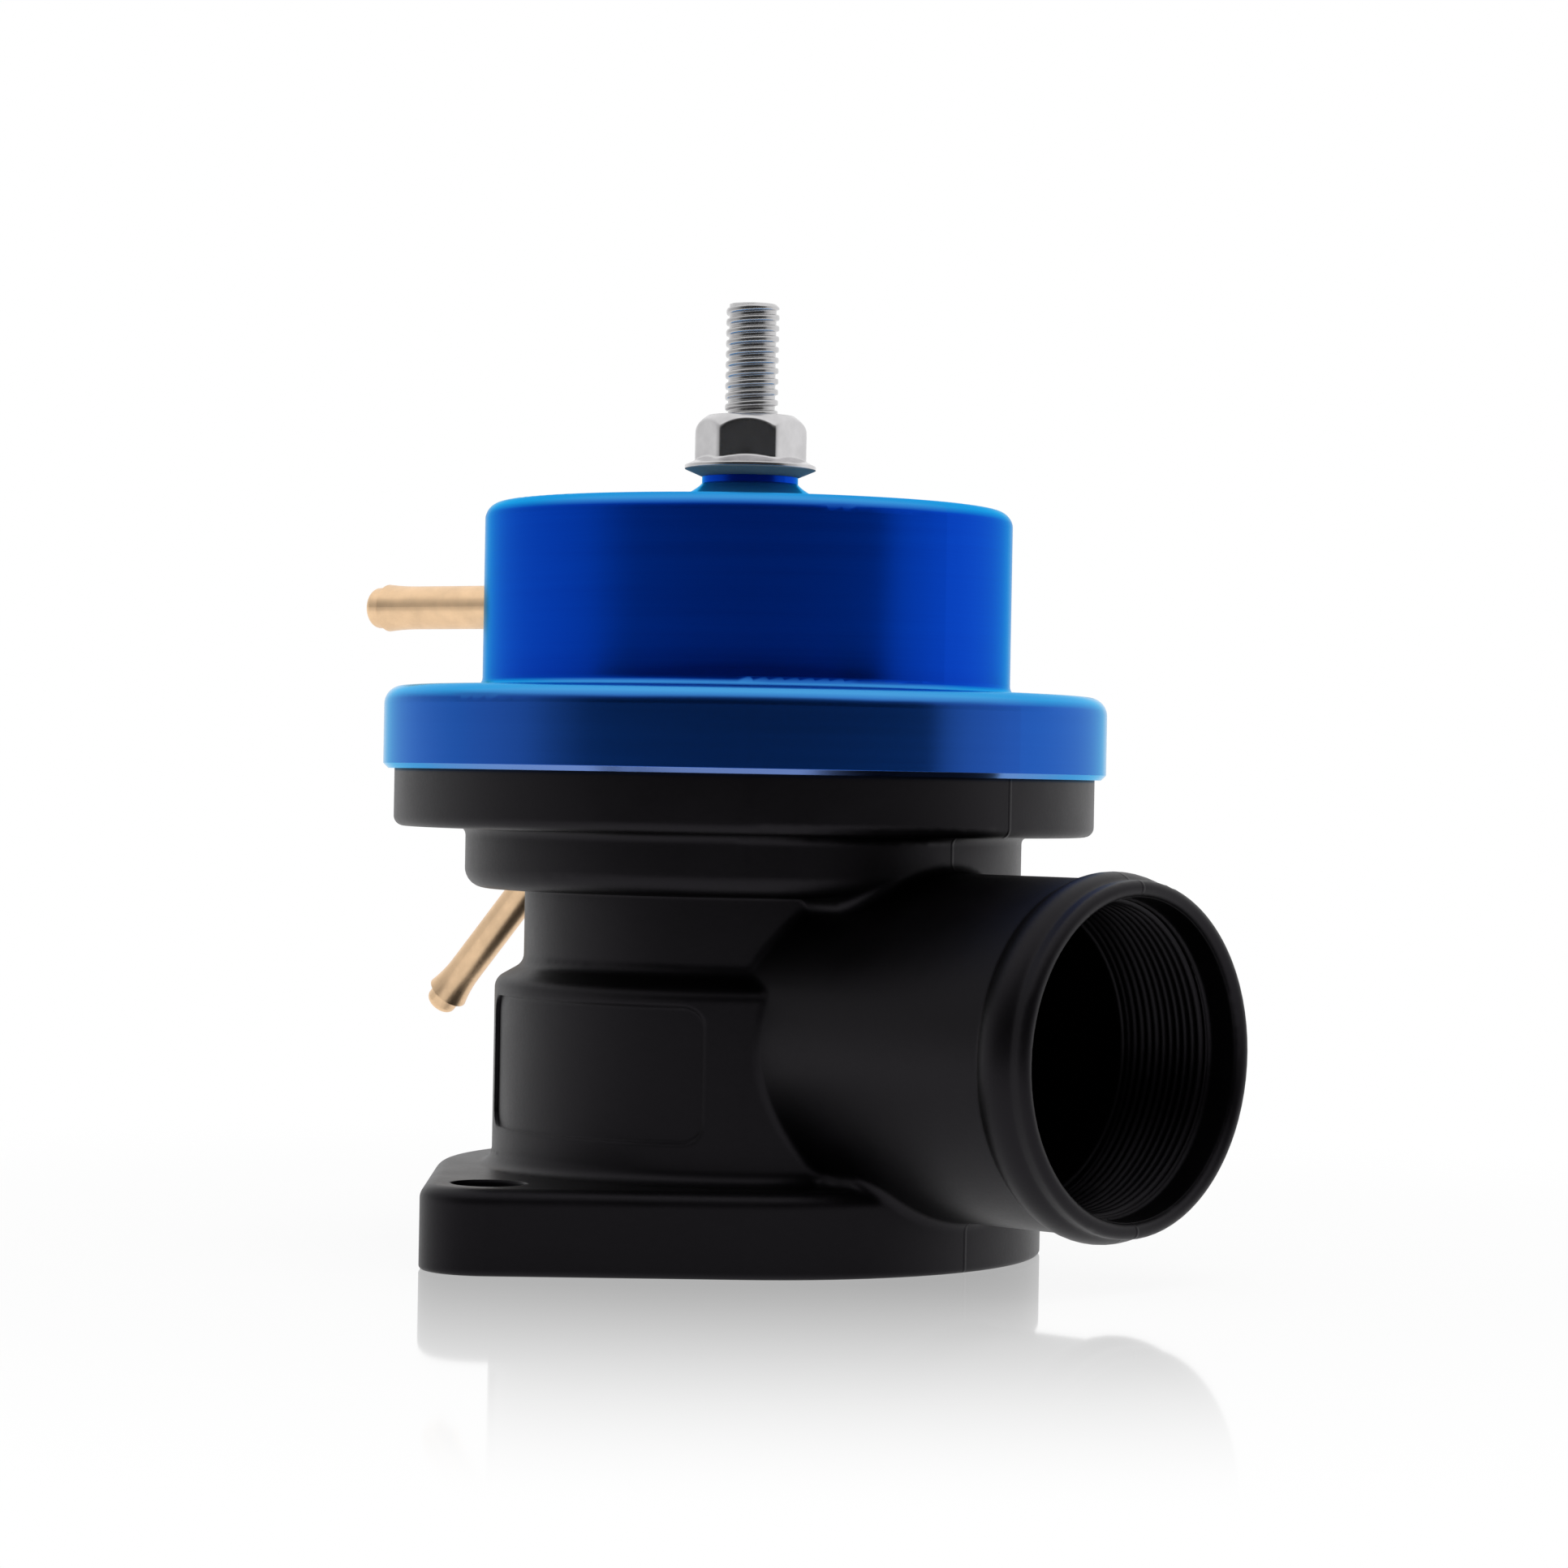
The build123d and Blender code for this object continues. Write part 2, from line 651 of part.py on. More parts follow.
# Cap: clamp flange and spring chamber turned in one piece, with a boss for the adjusting screw
with BuildPart() as top_cap:
    with BuildSketch(Plane.XZ):
        with BuildLine():
            Polyline(
                (0, split_height),
                (cap_flange_radius - cap_flange_chamfer, split_height),
                (cap_flange_radius, split_height + cap_flange_chamfer),
                (cap_flange_radius, cap_flange_top - cap_flange_round),
            )
            RadiusArc(
                (cap_flange_radius, cap_flange_top - cap_flange_round),
                (cap_flange_radius - cap_flange_round, cap_flange_top),
                -cap_flange_round,
            )
            FilletPolyline(
                (cap_flange_radius - cap_flange_round, cap_flange_top),
                (cap_radius, cap_flange_top),
                (cap_radius, cap_top - cap_top_round),
                radius=cap_root_round,
            )
            RadiusArc(
                (cap_radius, cap_top - cap_top_round),
                (cap_radius - cap_top_round, cap_top),
                -cap_top_round,
            )
            Line((cap_radius - cap_top_round, cap_top), (cap_boss_radius + cap_boss_flare, cap_top))
            RadiusArc(
                (cap_boss_radius + cap_boss_flare, cap_top),
                (cap_boss_radius, cap_top + cap_boss_flare),
                cap_boss_flare,
            )
            Polyline(
                (cap_boss_radius, cap_top + cap_boss_flare),
                (cap_boss_radius, boss_top),
                (0, boss_top),
                (0, split_height),
            )
        make_face()
    revolve(axis=Axis.Z)
    with BuildSketch(Plane.XZ):
        with BuildLine():
            FilletPolyline(
                (cap_room_radius, split_height),
                (cap_room_radius, room_ceiling),
                (0, room_ceiling),
                radius=cap_room_round,
            )
            Polyline((0, room_ceiling), (0, split_height), (cap_room_radius, split_height))
        make_face()
    revolve(axis=Axis.Z, mode=Mode.SUBTRACT)
    with BuildSketch(Plane.XY.offset(room_ceiling)):
        Circle(screw_bore_radius)
    extrude(until=Until.LAST, mode=Mode.SUBTRACT)
    with Locations(Plane.XY.offset(cap_flange_top)):
        with PolarLocations(cap_screw_circle, cap_screw_count, cap_screw_start):
            CounterBoreHole(
                cap_screw_radius + screw_hole_clearance,
                cap_screw_head_radius + screw_hole_clearance,
                cap_flange_top - cap_screw_head_bottom,
                cap_flange_thickness,
            )
    with BuildSketch(Plane(upper_nipple_seat, z_dir=upper_nipple_along)):
        Circle(upper_spigot_radius + thread_clearance)
    extrude(amount=-(cap_radius - cap_room_radius), both=True, mode=Mode.SUBTRACT)

# Cap screws: socket-head screws sunk in the cap's flange
with BuildPart() as cap_screws:
    screw_places = PolarLocations(cap_screw_circle, cap_screw_count, cap_screw_start)
    with BuildSketch(Plane.XY.offset(cap_screw_head_bottom)):
        with screw_places:
            Circle(cap_screw_head_radius)
    extrude(amount=cap_screw_head_height)
    with BuildSketch(Plane.XY.offset(cap_screw_head_bottom)):
        with screw_places:
            Circle(cap_screw_radius)
    extrude(amount=-cap_screw_length)
    with BuildSketch(Plane.XY.offset(cap_screw_head_top)):
        with screw_places:
            RegularPolygon(cap_screw_socket / 2, 6, major_radius=False)
    extrude(amount=-cap_screw_socket_depth, mode=Mode.SUBTRACT)

# Seat ring: drops into the base from below and carries the raised lip that the poppet closes on
with BuildPart() as valve_seat_ring:
    with BuildSketch(Plane.XZ):
        Polygon(
            (seat_bore_radius, 0),
            (seat_ring_radius, 0),
            (seat_ring_radius, seat_ring_height),
            (seat_neck_radius, seat_ring_height),
            (seat_neck_radius, seat_height - (seat_neck_radius - seat_lip_outer_radius)),
            (seat_lip_outer_radius, seat_height),
            (seat_lip_inner_radius, seat_height),
            (seat_bore_radius, seat_height - seat_flare_height),
            align=None,
        )
        with Locations((seat_ring_radius - seat_o_ring_radius, seat_ring_groove_middle)):
            Rectangle(seat_o_ring_radius * 2, seat_o_ring_radius * 2.6, mode=Mode.SUBTRACT)
    revolve(axis=Axis.Z)

seat_o_ring = torus_ring(
    seat_ring_radius - seat_o_ring_radius, seat_o_ring_radius, seat_ring_groove_middle
)
base_o_ring = torus_ring(base_groove_middle_radius, base_o_ring_radius, base_groove_depth / 2)
stem_seal = torus_ring(
    (stem_radius + bush_radius) / 2, stem_seal_wire_radius, (seal_pocket_bottom + bush_bottom) / 2
)

# Poppet: a dished disc on the stem's lower spigot, with a bonded face seal
with BuildPart() as poppet:
    with BuildSketch(Plane.XZ):
        Polygon(
            (spigot_bore_radius, poppet_nut_top),
            (poppet_nut_room_radius, poppet_nut_top),
            (poppet_nut_room_radius, poppet_underside),
            (poppet_seal_inner_radius, poppet_underside),
            (poppet_seal_inner_radius, seat_height + poppet_seal_thickness),
            (poppet_seal_outer_radius, seat_height + poppet_seal_thickness),
            (poppet_seal_outer_radius, poppet_underside),
            (poppet_radius, poppet_underside),
            (poppet_radius, poppet_underside + poppet_rim_height),
            (poppet_hub_radius, poppet_top - poppet_hub_stand),
            (poppet_hub_radius, poppet_top),
            (stem_radius + sliding_clearance, poppet_top),
            (stem_radius + sliding_clearance, stem_shoulder),
            (spigot_bore_radius, stem_shoulder),
            align=None,
        )
    revolve(axis=Axis.Z)
    outer_rim = poppet.edges().filter_by(GeomType.CIRCLE).group_by(SortBy.RADIUS)[-1]
    fillet(outer_rim.sort_by(Axis.Z)[-1], poppet_rim_round)

with BuildPart() as poppet_seal:
    with BuildSketch(Plane.XY.offset(seat_height)):
        Circle(poppet_seal_outer_radius)
        Circle(poppet_seal_inner_radius, mode=Mode.SUBTRACT)
    extrude(amount=poppet_seal_thickness)

poppet_nut = hex_nut(stem_nut_flats, poppet_nut_bottom, poppet_nut_height, spigot_bore_radius)

# Stem: turned shaft with a threaded spigot at each end
with BuildPart() as valve_stem:
    with BuildSketch(Plane.XZ):
        Polygon(
            (0, poppet_nut_bottom),
            (spigot_radius, poppet_nut_bottom),
            (spigot_radius, stem_shoulder),
            (stem_radius, stem_shoulder),
            (stem_radius, lower_plate_underside),
            (spigot_radius, lower_plate_underside),
            (spigot_radius, stem_top),
            (0, stem_top),
            align=None,
        )
    revolve(axis=Axis.Z)
    stem_ends = valve_stem.edges().filter_by(GeomType.CIRCLE).sort_by(Axis.Z)
    chamfer([stem_ends[0], stem_ends[-1]], spigot_chamfer)

# Stem guide: a flush bush held down over the stem seal by an internal circlip
with BuildPart() as stem_bush:
    with BuildSketch(Plane.XY.offset(bush_bottom)):
        Circle(bush_radius)
        Circle(stem_radius + sliding_clearance, mode=Mode.SUBTRACT)
    extrude(amount=bush_top - bush_bottom)

with BuildPart() as bush_circlip:
    with BuildSketch(Plane.XY.offset(circlip_bottom)):
        Circle(circlip_outer_radius)
        Circle(circlip_outer_radius - circlip_ring_width, mode=Mode.SUBTRACT)
        with BuildLine():
            Polyline(
                (0, 0),
                (circlip_outer_radius * 2, circlip_outer_radius * 2 * circlip_gap_slope),
                (circlip_outer_radius * 2, -circlip_outer_radius * 2 * circlip_gap_slope),
                close=True,
            )
        make_face(mode=Mode.SUBTRACT)
        with PolarLocations(circlip_lug_circle, 2, -circlip_gap_angle / 2, circlip_gap_angle * 2):
            Circle(circlip_lug_radius)
            Circle(circlip_lug_hole_radius, mode=Mode.SUBTRACT)
    extrude(amount=circlip_thickness)

# Diaphragm: clamped rim, one rolled convolution and a flat middle between the two plates
with BuildPart() as diaphragm:
    with BuildSketch(Plane.XZ):
        with BuildLine():
            Polyline(
                (convolution_middle - roll_inner_radius, roll_height),
                (convolution_middle - roll_inner_radius, diaphragm_underside),
                (spigot_bore_radius, diaphragm_underside),
                (spigot_bore_radius, diaphragm_top),
                (convolution_middle - roll_outer_radius, diaphragm_top),
                (convolution_middle - roll_outer_radius, roll_height),
            )
            ThreePointArc(
                (convolution_middle - roll_outer_radius, roll_height),
                (convolution_middle, roll_height + roll_outer_radius),
                (convolution_middle + roll_outer_reach, split_height),
            )
            Polyline(
                (convolution_middle + roll_outer_reach, split_height),
                (diaphragm_radius, split_height),
                (diaphragm_radius, rim_underside),
                (convolution_middle + roll_inner_reach, rim_underside),
            )
            ThreePointArc(
                (convolution_middle + roll_inner_reach, rim_underside),
                (convolution_middle, roll_height + roll_inner_radius),
                (convolution_middle - roll_inner_radius, roll_height),
            )
        make_face()
    revolve(axis=Axis.Z)

with BuildPart() as lower_diaphragm_plate:
    with BuildSketch(Plane.XY.offset(lower_plate_underside)):
        Circle(plate_radius)
        Circle(spigot_bore_radius, mode=Mode.SUBTRACT)
    extrude(amount=lower_plate_thickness)
    lower_rim = lower_diaphragm_plate.edges().filter_by(GeomType.CIRCLE).sort_by(Axis.Z)
    fillet(lower_rim.group_by(SortBy.RADIUS)[-1].sort_by(Axis.Z)[0], lower_plate_thickness / 2)

with BuildPart() as upper_diaphragm_plate:
    with BuildSketch(Plane.XZ):
        Polygon(
            (spigot_bore_radius, diaphragm_top),
            (plate_radius, diaphragm_top),
            (plate_radius, diaphragm_top + upper_plate_rim_height),
            (plate_radius - upper_plate_rim_width, diaphragm_top + upper_plate_rim_height),
            (plate_radius - upper_plate_rim_width, upper_plate_top),
            (upper_plate_pad_radius, upper_plate_top),
            (upper_plate_pad_radius, upper_plate_pad_top),
            (spigot_bore_radius, upper_plate_pad_top),
            align=None,
        )
    revolve(axis=Axis.Z)

with BuildPart() as stem_washer:
    with BuildSketch(Plane.XY.offset(upper_plate_pad_top)):
        Circle(stem_washer_radius)
        Circle(spigot_bore_radius, mode=Mode.SUBTRACT)
    extrude(amount=stem_washer_thickness)

stem_nut = hex_nut(stem_nut_flats, stem_washer_top, stem_nut_height, spigot_bore_radius)

# Springs, wound opposite ways so that they don't lock into each other
outer_spring = coil_spring(
    outer_spring_radius,
    outer_spring_wire,
    outer_spring_turns,
    upper_plate_top,
    spring_seat_underside,
    False,
)
inner_spring = coil_spring(
    inner_spring_radius,
    inner_spring_wire,
    inner_spring_turns,
    upper_plate_top,
    spring_seat_underside,
    True,
)

with BuildPart() as upper_spring_seat:
    with BuildSketch(Plane.XZ):
        Polygon(
            (0, spring_seat_underside - spring_seat_hub_height),
            (upper_plate_pad_radius, spring_seat_underside - spring_seat_hub_height),
            (upper_plate_pad_radius, spring_seat_underside),
            (spring_seat_radius, spring_seat_underside),
            (spring_seat_radius, spring_seat_top),
            (spring_seat_boss_radius, spring_seat_top),
            (spring_seat_boss_radius, spring_seat_crown),
            (screw_radius + assembly_clearance, spring_seat_crown),
            (screw_radius + assembly_clearance, screw_bottom),
            (0, screw_bottom),
            align=None,
        )
    revolve(axis=Axis.Z)

# Adjusting screw: a long set screw with a hexagon socket in its upper end
with BuildPart() as adjusting_screw:
    with BuildSketch(Plane.XY.offset(screw_bottom)):
        Circle(screw_radius)
    extrude(amount=screw_top - screw_bottom)
    chamfer(adjusting_screw.edges().filter_by(GeomType.CIRCLE), screw_chamfer)
    with BuildSketch(Plane.XY.offset(screw_top)):
        RegularPolygon(screw_socket / 2, 6, major_radius=False)
    extrude(amount=-screw_socket_depth, mode=Mode.SUBTRACT)

# Lock nut: hexagon with a domed crown on a wide flange
with BuildPart() as lock_nut:
    with BuildSketch(Plane.XY.offset(boss_top + nut_flange_rise)):
        RegularPolygon(nut_flats / 2, 6, major_radius=False, rotation=nut_rotation)
    extrude(amount=nut_height - nut_flange_rise)
    with BuildSketch(Plane.XZ):
        with BuildLine():
            Polyline(
                (nut_crown_radius, nut_top),
                (0, nut_top),
                (0, boss_top),
                (nut_corner_radius, boss_top),
                (nut_corner_radius, nut_top - nut_crown_drop * 2),
            )
            Spline(
                (nut_corner_radius, nut_top - nut_crown_drop * 2),
                (nut_corner_radius - nut_crown_drop / 4, nut_top - nut_crown_drop),
                (nut_crown_radius, nut_top),
                tangents=((0, 1), (-1, 0.15)),
            )
        make_face()
    revolve(axis=Axis.Z, mode=Mode.INTERSECT)
    with BuildSketch(Plane.XZ):
        Polygon(
            (0, boss_top),
            (cap_boss_radius, boss_top),
            (nut_flange_radius, boss_top + nut_flange_rise),
            (nut_flange_radius, boss_top + nut_flange_rise + nut_flange_edge),
            (nut_flats / 2, boss_top + nut_flange_rise + nut_flange_edge + nut_flange_slope),
            (0, boss_top + nut_flange_rise + nut_flange_edge + nut_flange_slope),
            align=None,
        )
    revolve(axis=Axis.Z)
    with BuildSketch(Plane.XY.offset(boss_top)):
        Circle(screw_bore_radius)
    extrude(amount=nut_height, mode=Mode.SUBTRACT)

upper_nipple = hose_nipple(
    upper_nipple_seat,
    upper_nipple_along,
    upper_nipple_radius,
    upper_nipple_length,
    upper_nipple_barb_height,
    upper_nipple_spigot,
)
lower_nipple = hose_nipple(
    lower_nipple_seat,
    lower_nipple_along,
    lower_nipple_radius,
    lower_nipple_length,
    lower_nipple_barb_height,
    lower_nipple_spigot,
)

pieces = {
    "valve_body": valve_body,
    "top_cap": top_cap,
    "cap_screws": cap_screws,
    "valve_seat_ring": valve_seat_ring,
    "seat_o_ring": seat_o_ring,
    "base_o_ring": base_o_ring,
    "stem_bush": stem_bush,
    "stem_seal": stem_seal,
    "bush_circlip": bush_circlip,
    "poppet": poppet,
    "poppet_seal": poppet_seal,
    "poppet_nut": poppet_nut,
    "valve_stem": valve_stem,
    "lower_diaphragm_plate": lower_diaphragm_plate,
    "diaphragm": diaphragm,
    "upper_diaphragm_plate": upper_diaphragm_plate,
    "stem_washer": stem_washer,
    "stem_nut": stem_nut,
    "outer_spring": outer_spring,
    "inner_spring": inner_spring,
    "upper_spring_seat": upper_spring_seat,
    "adjusting_screw": adjusting_screw,
    "lock_nut": lock_nut,
    "upper_nipple": upper_nipple,
    "lower_nipple": lower_nipple,
}

os.makedirs("parts", exist_ok=True)
for name, piece in pieces.items():
    piece.part.label = name
    export_step(piece.part, f"parts/{name}.step")
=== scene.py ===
"""Looks of the diaphragm blow-off valve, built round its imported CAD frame.

Metres. The origin is the centre of the inlet in the base's face, +Z is up along the stem and +X
points out of the outlet, as in the frame.
"""

import json
import math

import bmesh
import bpy
from mathutils import Matrix, Vector


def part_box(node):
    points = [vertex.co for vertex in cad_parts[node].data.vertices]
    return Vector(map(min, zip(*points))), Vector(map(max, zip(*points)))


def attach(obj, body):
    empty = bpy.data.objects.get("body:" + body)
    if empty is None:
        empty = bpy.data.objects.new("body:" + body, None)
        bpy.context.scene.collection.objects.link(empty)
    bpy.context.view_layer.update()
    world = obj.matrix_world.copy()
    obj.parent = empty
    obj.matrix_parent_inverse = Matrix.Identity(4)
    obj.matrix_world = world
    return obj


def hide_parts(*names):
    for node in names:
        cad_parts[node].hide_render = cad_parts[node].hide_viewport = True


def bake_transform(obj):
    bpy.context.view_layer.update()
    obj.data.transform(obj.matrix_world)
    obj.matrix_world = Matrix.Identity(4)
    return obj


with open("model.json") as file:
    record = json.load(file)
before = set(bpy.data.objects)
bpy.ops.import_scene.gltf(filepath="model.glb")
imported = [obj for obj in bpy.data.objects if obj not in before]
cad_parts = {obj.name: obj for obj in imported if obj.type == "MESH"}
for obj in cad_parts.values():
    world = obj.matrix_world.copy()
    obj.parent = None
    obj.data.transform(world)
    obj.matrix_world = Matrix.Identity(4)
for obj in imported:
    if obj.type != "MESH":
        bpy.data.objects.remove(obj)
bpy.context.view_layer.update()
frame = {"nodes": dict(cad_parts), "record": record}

slot_of = {part["node"]: part["material_slot"] for part in frame["record"]["subparts"]}

MM = 0.001
WELD_DISTANCE = 0.0005 * MM

# Camera: the photograph's place. Its lens and aim are in the photo's own pixels
PHOTO_SIZE = 1932
FOCAL_PIXELS = 5356
SENSOR_WIDTH_IN_MM = 36.0
CAMERA_AZIMUTH = math.radians(44)
CAMERA_DISTANCE = 520 * MM
CAMERA_HEIGHT = 55.9 * MM
AIM_RIGHT_PIXELS = 48.5
AIM_DOWN_PIXELS = 6
CAMERA_ROLL = math.radians(1.03)

# Adjusting screw's thread and socket
SCREW_PITCH = 1.27 * MM
SCREW_THREAD_DEPTH = 0.36 * MM
SCREW_END_RADIUS = 2.8 * MM
SCREW_SOCKET_FLATS = 3.2 * MM
SCREW_SOCKET_DEPTH = 3.5 * MM
SCREW_SOCKET_RIM_FLATS = SCREW_SOCKET_FLATS + 0.25 * MM
SCREW_SOCKET_CHAMFER = 0.12 * MM
SCREW_SOCKET_CONE = 0.4 * MM
SCREW_COLUMNS = 72

# Top of the cap's flange, where its finish changes
FLANGE_TOP = 66.2 * MM

# Hollow root of the boss that the lock nut sits on
BOSS_RADIUS = 5.75 * MM
BOSS_FOOT = 88.2 * MM
BOSS_ROOT_WIDTH = 5.0 * MM
BOSS_ROOT_HEIGHT = 2.9 * MM
BOSS_ROOT_HOLLOW = 1.3
BOSS_ROOT_STEPS = 10
BOSS_ROOT_SUNK = 0.1 * MM

# Lock nut
NUT_FLATS = 11.8 * MM
NUT_FACE_ANGLE = math.radians(9.7)
NUT_BORE_RADIUS = 3.225 * MM
NUT_SEAT_RADIUS = 5.75 * MM
NUT_FLANGE_RADIUS = 7.85 * MM
NUT_FLANGE_RISE = 0.9 * MM
NUT_FLANGE_EDGE = 0.45 * MM
NUT_FLANGE_SLOPE = 0.9 * MM
NUT_CROWN_RADIUS = 5.2 * MM
NUT_CROWN_HEIGHT = 2.6 * MM
NUT_CROWN_BEND = 2.5
NUT_CROWN_STEPS = 16
NUT_CORNER_SHARE = 0.985
NUT_ROUND_OVER = 0.24 * MM
NUT_BORE_CHAMFER = 0.35 * MM
NUT_EDGE_SOFTNESS = 0.07 * MM
NUT_COLUMNS = 180
# Lock nut faces whose normal points further down than this get a dull, warm-tinted steel: painted shade on
# the nut's underside
NUT_SHADED_UNDERSIDE_NORMAL = -0.3
# Heights in mm of the rings through the nut's flange and the root of its hexagon
NUT_FLANGE_LEVELS = [
    0, 0.3, 0.6, 0.8, 0.88, 0.95, 1.05, 1.2, 1.3, 1.36, 1.45, 1.6, 1.8, 2.0, 2.15, 2.3, 2.5,
]
# Rings between those and the crown, as shares of the height that is left
NUT_BODY_SHARES = (0.35, 0.7)

# Thread inside the outlet: its place comes from the record's mount
OUTLET_THREAD_DEPTH = 0.55 * MM
OUTLET_THREAD_PITCH = 1.05 * MM
OUTLET_THREAD_SUNK = 0.06 * MM
OUTLET_THREAD_FREE_END = 0.15 * MM
OUTLET_THREAD_COLUMNS = 144

# Diaphragm: its sheet, and the rise from the top of its middle to the underside of its rim
DIAPHRAGM_THICKNESS = 1.0 * MM
DIAPHRAGM_RISE_TO_RIM = 2.9 * MM

# Springs: share of the height, from below, at which the coils stay still
SPRING_STILL_SHARE = 0.61

# Dark screen that reflections show. Each row has its height, and how its levels are scaled and raised
SCREEN_RADIUS = 450 * MM
SCREEN_TOP = 420 * MM
SCREEN_ROWS = [
    (0, 1.4, 0), (56 * MM, 1.4, 0), (66 * MM, 1.3, 0.07), (80 * MM, 1.0, 0.07), (110 * MM, 1.0, 0.07),
    (122 * MM, 1.0, 0), (190 * MM, 1.0, 0), (240 * MM, 1.0, 0.14), (330 * MM, 1.0, 0.14),
]
# Degrees round the axis from the camera's side, and how light the screen is there
SCREEN_LEVELS = [
    (-150, 1.0), (-128, 0.8), (-110, 0.65), (-95, 0.58), (-82, 0.5), (-70, 0.4), (-59, 0.2),
    (-48, 0.05), (-40, 0.015), (44, 0.015), (56, 0.05), (63, 0.35), (70, 0.5), (82, 0.62),
    (95, 0.85), (112, 1.0),
]

# Light that falls on the object: from the room, where white is 1, and from the lamp
ROOM_LIGHT = 0.6
LAMP_PLACE = (0.05, 0.05, 0.9)
LAMP_TARGET = (0, 0, 0.05)
LAMP_WIDTH = 0.8
LAMP_DEPTH = 0.6
LAMP_WATTS = 3.2

# Floor: its half width, how far it lies under the object, and where its finish changes with distance
FLOOR_HALF = 3.0
FLOOR_GAP = 0.02 * MM
FLOOR_COLOR = (0.85, 0.85, 0.85, 1)
FLOOR_SHADE_REACH = (0.04, 0.2)
FLOOR_WHITE_NEAR = 0.84
FLOOR_MIRROR_REACH = (0.03, 0.19)
FLOOR_MIRROR_ROUGHNESS = 0.05
FLOOR_MIRROR_IOR = 1.48

# Blue anodising: two shades of the chamber and of the flange. A pale blue on faces turned up is a painted
# highlight, and a pale violet blue on faces turned down is painted light
CHAMBER_SHADES = ((0.0, 0.050, 0.53), (0.0, 0.058, 0.57))
FLANGE_SHADES = ((0.006, 0.084, 0.46), (0.008, 0.092, 0.49))
BLUE_PAINTED_HIGHLIGHT_UP = (0.07, 0.42, 0.82)
BLUE_PAINTED_LIGHT_DOWN = (0.19, 0.30, 0.66)
# Height of a face's normal where it starts to face up, to be level or to face down, and where it fully
# does. Up and down mark where the painted highlight and the painted light go
FACING_UP = (0.26, 0.66)
LEVEL_TOP = (0.85, 0.98)
FACING_DOWN = (-0.2, -0.6)

# Rays that the light on softened edges is worked out from
EDGE_SAMPLES = 6

# Thread profiles over one pitch: how far along the pitch, and how much of the thread's full height
OUTLET_PROFILE = [
    (0, 1), (0.06, 1), (0.13, 0.96), (0.28, 0.5), (0.43, 0.04), (0.56, 0), (0.69, 0.04), (0.85, 0.5),
]
SCREW_PROFILE = [
    (0, 0.85), (0.08, 0.96), (0.18, 1), (0.28, 1), (0.38, 0.96), (0.46, 0.85), (0.53, 0.2),
    (0.57, 0.03), (0.61, 0), (0.85, 0), (0.89, 0.03), (0.93, 0.2),
]


def mesh_object(name, build):
    """Object whose mesh is filled by build(bm), welded and shaded smooth."""
    bm = bmesh.new()
    build(bm)
    bmesh.ops.remove_doubles(bm, verts=bm.verts, dist=WELD_DISTANCE)
    bmesh.ops.recalc_face_normals(bm, faces=bm.faces)
    for face in bm.faces:
        face.smooth = True
    mesh = bpy.data.meshes.new(name)
    bm.to_mesh(mesh)
    bm.free()
    made = bpy.data.objects.new(name, mesh)
    bpy.context.scene.collection.objects.link(made)
    return made


def add_rings(bm, rings):
    """Faces between each ring of points and the next. A ring may shrink to one point."""
    rows = [[bm.verts.new(point) for point in ring] for ring in rings]
    for lower, upper in zip(rows, rows[1:]):
        for i in range(len(lower)):
            k = (i + 1) % len(lower)
            bm.faces.new((lower[i], lower[k], upper[k], upper[i]))


def ring(radius_at, height, columns):
    """Level ring of points round Z. radius_at is a radius, or a function of the angle."""
    points = []
    for i in range(columns):
        angle = math.tau * i / columns
        radius = radius_at(angle) if callable(radius_at) else radius_at
        points.append(Vector((radius * math.cos(angle), radius * math.sin(angle), height)))
    return points


def hexagon(flats, face_angle=0.0):
    """Radius of a hexagon at an angle, as a function. face_angle is the direction of one flat."""
    def radius_at(angle):
        off = (angle - face_angle + math.pi / 6) % (math.pi / 3) - math.pi / 6
        return flats / 2 / math.cos(off)

    return radius_at


def soft_min(a, b, softness):
    """The smaller of two sizes, with the corner between them rounded."""
    lowest = min(a, b)
    total = math.exp((lowest - a) / softness) + math.exp((lowest - b) / softness)
    return lowest - softness * math.log(total)


def add_thread(bm, profile, start, end, pitch, radius_at, columns):
    """Helical thread round Z between two end rings. radius_at(depth share, height) gives a radius."""
    per_turn = len(profile)
    spare_turns = 3
    turns = math.ceil((end - start) / pitch) + spare_turns
    grid = []
    for i in range(columns):
        angle = math.tau * i / columns
        column = []
        for row in range(turns * per_turn):
            share, depth = profile[row % per_turn]
            height = start + pitch * (row // per_turn + share + i / columns - spare_turns / 2)
            height = min(max(height, start), end)
            radius = radius_at(depth, height)
            column.append(bm.verts.new((radius * math.cos(angle), radius * math.sin(angle), height)))
        grid.append(column)
    for i in range(columns):
        shift = per_turn if i == columns - 1 else 0
        left, right = grid[i], grid[(i + 1) % columns]
        for row in range(turns * per_turn - 1 - shift):
            bm.faces.new((left[row], right[row + shift], right[row + shift + 1], left[row + 1]))


